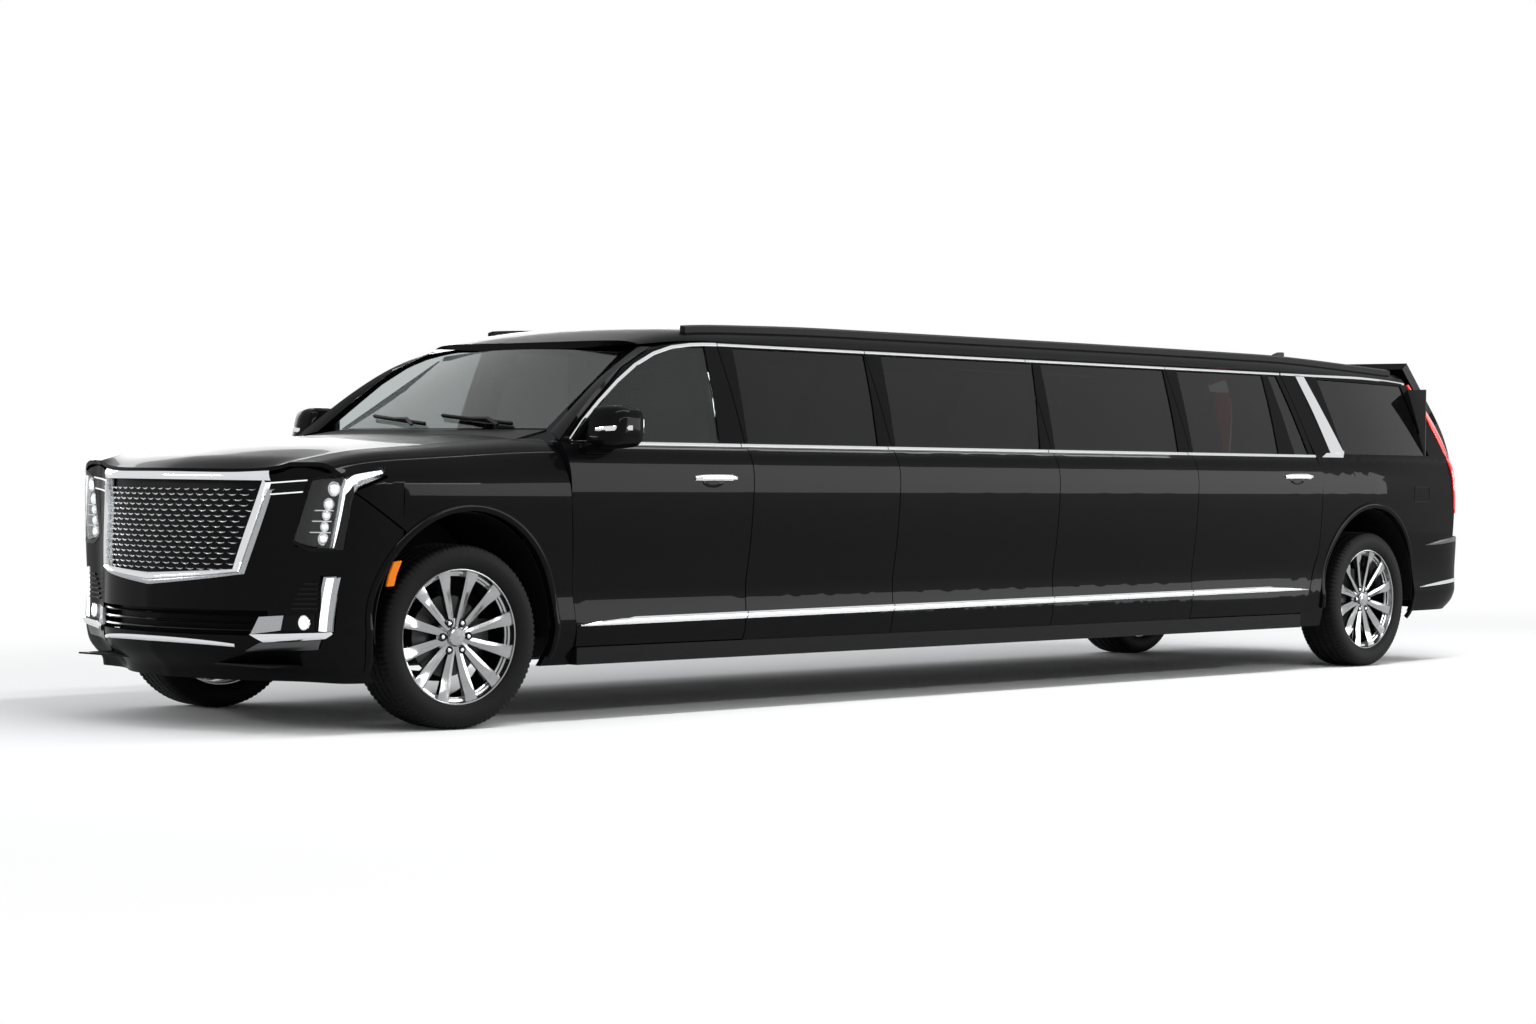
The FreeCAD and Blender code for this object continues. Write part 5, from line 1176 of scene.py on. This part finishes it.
def wipers():
    """Two wipers: a blade on the glass and a bent arm each."""
    parts = []
    outs = np.broadcast_to(unit(np.array((-.57, 0, .82))), (14, 3))
    out, rise = outs[0], .10
    for start, end in ((-.72, -.02), (.06, .74)):
        way = np.linspace(0, 1, 14)
        path = glass_point(start + (end - start) * way, .035 + rise * way)
        parts.append(sweep(path + outs * .016, outs, [(-.010, -.6), (.006, -1), (.008, 0),
                                                      (.006, 1), (-.010, .6)], .007))
        arm = np.stack([path[7] + out * .02, (path[7] + path[1]) / 2 + out * .03,
                        path[1] + np.array((-.06, 0, -.005)) + out * .01])
        parts.append(sweep(dense(arm, 5), outs[:11],
                           [(-.005, -1), (.005, -1), (.005, 1), (-.005, 1)], .008))
    mesh_piece("wipers", merged(parts), "root", "black_trim", trim)


def cabin_parts():
    """The cabin's mirror, and dark plates behind the tail lamps."""
    plates = [box((8.295, 8.300), (side * .70, side * .925), .95, 1.74) for side, word in SIDES]
    mesh_piece("rear_cabin_trim", merged(plates), "root", "cabin_trim", cabin)
    across, up = rounded(28, .6)
    rings = [np.stack([axle_x + 1.17 + back + 0 * up, .12 * share * across,
                       1.655 + .036 * share * up], -1)
             for back, share in ((-.022, .5), (-.018, .85), (-.004, 1), (.004, 1), (.006, .9))]
    mesh_piece("cabin_mirror", tube(np.array(rings)), "root", "black_trim", gloss)


# Seats. Each pad is a crowned block, swelled by cloth, with its place in its mesh.
ball_share, ball_radius = .14, 1.2
pad_grid, pad_pressure, pad_frames, pad_reach = .012, 4, 20, .012


def pad_mesh(size, crown):
    """A closed block about the origin, drawn towards a ball to soften its corners, whose top
    and bottom bulge by a crown that fades to their edges."""
    work = bmesh.new()
    bmesh.ops.create_cube(work, size=2)
    bmesh.ops.subdivide_edges(work, edges=work.edges, cuts=14, use_grid_fill=True)
    mesh = bpy.data.meshes.new("pad")
    work.to_mesh(mesh)
    work.free()
    points = read_points(mesh)
    points = points * (1 - ball_share) + unit(points) * ball_share * ball_radius
    lift = np.prod(1 - np.clip(np.abs(points), 0, 1)[:, :2] ** 4, 1)
    points = points * (np.array(size) / 2)
    points[:, 2] += np.sign(points[:, 2]) * crown * lift
    mesh.vertices.foreach_set("co", points.ravel())
    return mesh


def swelled(mesh):
    """A pad after a short run of cloth under pressure, no point moved farther than a reach."""
    item = linked("pad", mesh)
    bpy.context.view_layer.objects.active = item
    mesh.remesh_voxel_size = pad_grid
    with bpy.context.temp_override(object=item, active_object=item, selected_objects=[item]):
        bpy.ops.object.voxel_remesh()
    start = read_points(item.data)
    cloth = item.modifiers.new("cloth", "CLOTH")
    cloth.settings.use_pressure = True
    cloth.settings.uniform_pressure_force = pad_pressure
    cloth.settings.effector_weights.gravity = 0
    for number in range(1, pad_frames + 1):
        bpy.context.scene.frame_set(number)
    ready = item.evaluated_get(bpy.context.evaluated_depsgraph_get())
    result = bpy.data.meshes.new_from_object(ready)
    move = read_points(result) - start
    length = np.linalg.norm(move, axis=1, keepdims=True)
    move = move * np.minimum(1, pad_reach / np.maximum(length, 1e-9))
    result.vertices.foreach_set("co", (start + move).ravel())
    bpy.data.objects.remove(item)
    bpy.context.scene.frame_set(1)
    return result


def pad(size, crown):
    mesh = pad_mesh(size, crown)
    return swelled(mesh)


def place_pad(name, mesh, places, lean=0.0, hides=()):
    """Copies of a pad at places (back, across, height), leaned back about the axis across."""
    turn = np.array([[math.cos(lean), 0, math.sin(lean)], [0, 1, 0],
                     [-math.sin(lean), 0, math.cos(lean)]])
    points, faces = read_points(mesh), [list(face.vertices) for face in mesh.polygons]
    whole = merged([(points @ turn.T + np.array((axle_x + back, half, height)), faces)
                    for back, half, height in places])
    piece = mesh_piece(name, whole, "root", "seat_leather", leather, crease=80, hides=hides)


def seats():
    """Two front seats, a bench of five along the left side, a rear bench, and their bases."""
    cushion = pad((.50, .50, .13), .012)
    back = pad((.12, .49, .56), 0)
    rest = pad((.085, .27, .15), 0)
    for side, word in SIDES:
        y = side * .40
        place_pad("seat_cushion_" + word, cushion, [(1.83, y, .77)],
                  hides=("front_seats",) if side < 0 else ())
        place_pad("seat_back_" + word, back, [(2.07, y, 1.035)], .10)
        place_pad("head_rest_" + word, rest, [(2.11, y, 1.16)], .05)
    side_start, side_long, side_step = 2.330, .610, .622
    side_seat, side_back = pad((side_long, .50, .12), .012), pad((side_long, .11, .50), 0)
    starts = side_start + side_long / 2 + np.arange(5) * side_step
    place_pad("side_bench_seats", side_seat, [(b, -.655, .60) for b in starts],
              hides=("side_bench",))
    place_pad("side_bench_backs", side_back, [(b, -.855, .81) for b in starts])
    rear_seat, rear_back = pad((.47, .455, .12), .012), pad((.11, .455, .46), 0)
    halves = (-.462, 0, .462)
    place_pad("rear_bench_seats", rear_seat, [(6.63, y, .60) for y in halves],
              hides=("rear_bench",))
    place_pad("rear_bench_backs", rear_back, [(6.87, y, .83) for y in halves], .06)
    bases = [box((2.32, 5.46), (-.92, -.42), .431, .545),
             box((6.40, 6.90), (-.69, .69), .431, .545)]
    bases += [box((1.62, 2.06), (y - .2, y + .2), .431, .705) for y in (-.4, .4)]
    mesh_piece("seat_bases", merged(bases), "root", "cabin_trim", cabin)


skin_reach, skin_match = .004, .93


def polished(node, body):
    """A painted CAD piece again, its corners merged. Where it lies on the body's skin its
    normals are the skin's own, so that reflections run smoothly across its facets."""
    mesh = frame["nodes"][node].data.copy()
    rework(mesh, lambda work: bmesh.ops.remove_doubles(work, verts=work.verts, dist=.0001))
    points = read_points(mesh)
    corner = np.empty(len(mesh.loops), int)
    mesh.loops.foreach_get("vertex_index", corner)
    flat = np.empty(3 * len(mesh.polygons))
    mesh.polygons.foreach_get("normal", flat)
    sizes = np.empty(len(mesh.polygons), int)
    mesh.polygons.foreach_get("loop_total", sizes)
    flat = np.repeat(flat.reshape(-1, 3), sizes, axis=0)
    side = np.where(points[:, 1:2] > 0, 1.0, -1.0)
    near, outs = with_outs(side_point, points[:, 0] - axle_x, points[:, 2])
    outs = outs * np.concatenate([1 + 0 * side, -side, 1 + 0 * side], 1)
    on_skin = np.abs(np.abs(near[:, 1]) - np.abs(points[:, 1])) < skin_reach
    fits = on_skin[corner] & (np.sum(outs[corner] * flat, 1) > skin_match)
    normals = np.where(fits[:, None], outs[corner], flat)
    mesh.polygons.foreach_set("use_smooth", np.ones(len(mesh.polygons), bool))
    mesh.normals_split_custom_set(normals.tolist())
    item = linked("polished_" + node, mesh)
    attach(item, body)
    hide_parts(node)


for side, word in SIDES:
    polished("front_door_" + word, "front_door_" + word)
    polished("rear_door_" + word, "rear_door_" + word)
    polished("centre_panels_" + word, "root")
    polished("quarter_panel_" + word, "root")
grille()
headlamps()
projectors()
lamp_strips()
corner_lights()
side_trim()
rear_trim()
handles()
mirrors()
wheels()
under_parts()
wipers()
cabin_parts()
seats()


# The stage: a pale floor, soft lamps and the photograph's camera.
def light_path(tree):
    """One where the camera, gloss or glass looks, and zero for the light on the object."""
    rays = add_node(tree, "LightPath")
    total = rays.outputs["Is Camera Ray"]
    for name in ("Is Glossy Ray", "Is Transmission Ray"):
        larger = add_node(tree, "Math")
        larger.operation = "MAXIMUM"
        tree.links.new(total, larger.inputs[0])
        tree.links.new(rays.outputs[name], larger.inputs[1])
        total = larger.outputs[0]
    return total


glow_half_length, glow_half_width, glow_start, glow_full = 7.5, 3.6, .75, 1.9


def floor_glow(tree):
    """The floor shines white for those rays, by a share that rises away from the object."""
    link = tree.links.new
    place = add_node(tree, "TexCoord")
    scale = add_node(tree, "Mapping", Scale=(1 / glow_half_length, 1 / glow_half_width, 0))
    away = add_node(tree, "VectorMath")
    away.operation = "LENGTH"
    rise = add_node(tree, "MapRange", From_Min=glow_start, From_Max=glow_full)
    rise.interpolation_type = "SMOOTHSTEP"
    amount = add_node(tree, "Math")
    amount.operation = "MULTIPLY"
    glow = add_node(tree, "Emission", Strength=1)
    mix = add_node(tree, "MixShader")
    link(place.outputs["Object"], scale.inputs["Vector"])
    link(scale.outputs["Vector"], away.inputs[0])
    link(away.outputs["Value"], rise.inputs["Value"])
    link(light_path(tree), amount.inputs[0])
    link(rise.outputs["Result"], amount.inputs[1])
    link(amount.outputs[0], mix.inputs["Fac"])
    link(tree.nodes["Principled BSDF"].outputs[0], mix.inputs[1])
    link(glow.outputs[0], mix.inputs[2])
    link(mix.outputs[0], tree.nodes["Material Output"].inputs["Surface"])


def stage():
    """Floor and world are white to the camera, so that they meet without a line, and the
    floor keeps the shadow. The object is lit by a slightly darker world."""
    pale = finish("floor", (.86, .86, .86), .9, Specular_IOR_Level=0)
    far = 90
    floor = mesh_piece("floor", ([(-far, -far, 0), (far, -far, 0), (far, far, 0), (-far, far, 0)],
                                 [(0, 1, 2, 3)]), None, None, pale)
    floor_glow(pale.node_tree)
    world = bpy.data.worlds.new("studio")
    bpy.context.scene.world = world
    world.use_nodes = True
    tree = world.node_tree
    link, back = tree.links.new, tree.nodes["Background"]
    set_inputs(back, {"Color": (.78, .79, .80, 1), "Strength": 1})
    white = add_node(tree, "Background", Color=(1, 1, 1, 1), Strength=1)
    both = add_node(tree, "MixShader")
    link(light_path(tree), both.inputs["Fac"])
    link(back.outputs[0], both.inputs[1])
    link(white.outputs[0], both.inputs[2])
    link(both.outputs[0], tree.nodes["World Output"].inputs["Surface"])


def lamp(name, place, aim, width, height, power):
    """A rectangular area lamp at a place, facing a point."""
    light = bpy.data.lights.new(name, "AREA")
    light.shape = "RECTANGLE"
    light.size, light.size_y, light.energy = width, height, power
    item = linked(name, light)
    place, aim = np.array(place, float), np.array(aim, float)
    back = unit(place - aim)
    right = unit(np.cross((0, 0, 1), back) if abs(back[2]) < .99 else np.array((1., 0., 0.)))
    up = np.cross(back, right)
    item.matrix_world = Matrix([[right[0], up[0], back[0], place[0]],
                                [right[1], up[1], back[1], place[1]],
                                [right[2], up[2], back[2], place[2]], [0, 0, 0, 1]])
    return item


def reflected_wall(name, place, aim, width, height, glow):
    """A wide soft box that shows in gloss alone, so that the paint carries its edge."""
    item = lamp(name, place, aim, width, height, glow * math.pi * width * height)
    item.visible_diffuse = False
    item.visible_transmission = False


camera_place = (-13.600, -11.733, 1.179)
camera_yaw, camera_pitch, camera_roll = (math.radians(turn) for turn in (42.572, -.743, .593))
camera_lens, sensor_width = 75.17, 36


def camera():
    """The camera of the photograph, from its yaw, pitch and roll."""
    look = np.array([math.cos(camera_yaw) * math.cos(camera_pitch),
                     math.sin(camera_yaw) * math.cos(camera_pitch), math.sin(camera_pitch)])
    right = unit(np.cross(look, (0, 0, 1)))
    up = np.cross(right, look)
    turn, lean = math.cos(camera_roll), math.sin(camera_roll)
    right, up = turn * right + lean * up, -lean * right + turn * up
    data = bpy.data.cameras.new("camera")
    data.lens, data.sensor_width = camera_lens, sensor_width
    item = linked("camera", data)
    columns = np.stack([right, up, -look, np.array(camera_place)], 1)
    item.matrix_world = Matrix(columns.tolist() + [[0, 0, 0, 1]])
    bpy.context.scene.camera = item


stage()
camera()
lamp("overhead", (1.5, -2.6, 6.0), (1.5, -.6, 1.2), 14, .35, 420)
lamp("side_key", (-1, -10.5, 5.2), (-1, 0, 1.2), 13, .35, 330)
lamp("front_fill", (-12, 6, 4.0), (-4, 0, .9), 4, .5, 160)
reflected_wall("left_wall", (16, -14, 4.0), (16, 0, 4.0), 26, 5.2, 8)
reflected_wall("right_wall", (10, 14, 4.0), (10, 0, 4.0), 26, 5.2, 8)
bpy.context.scene.view_settings.view_transform = "Standard"
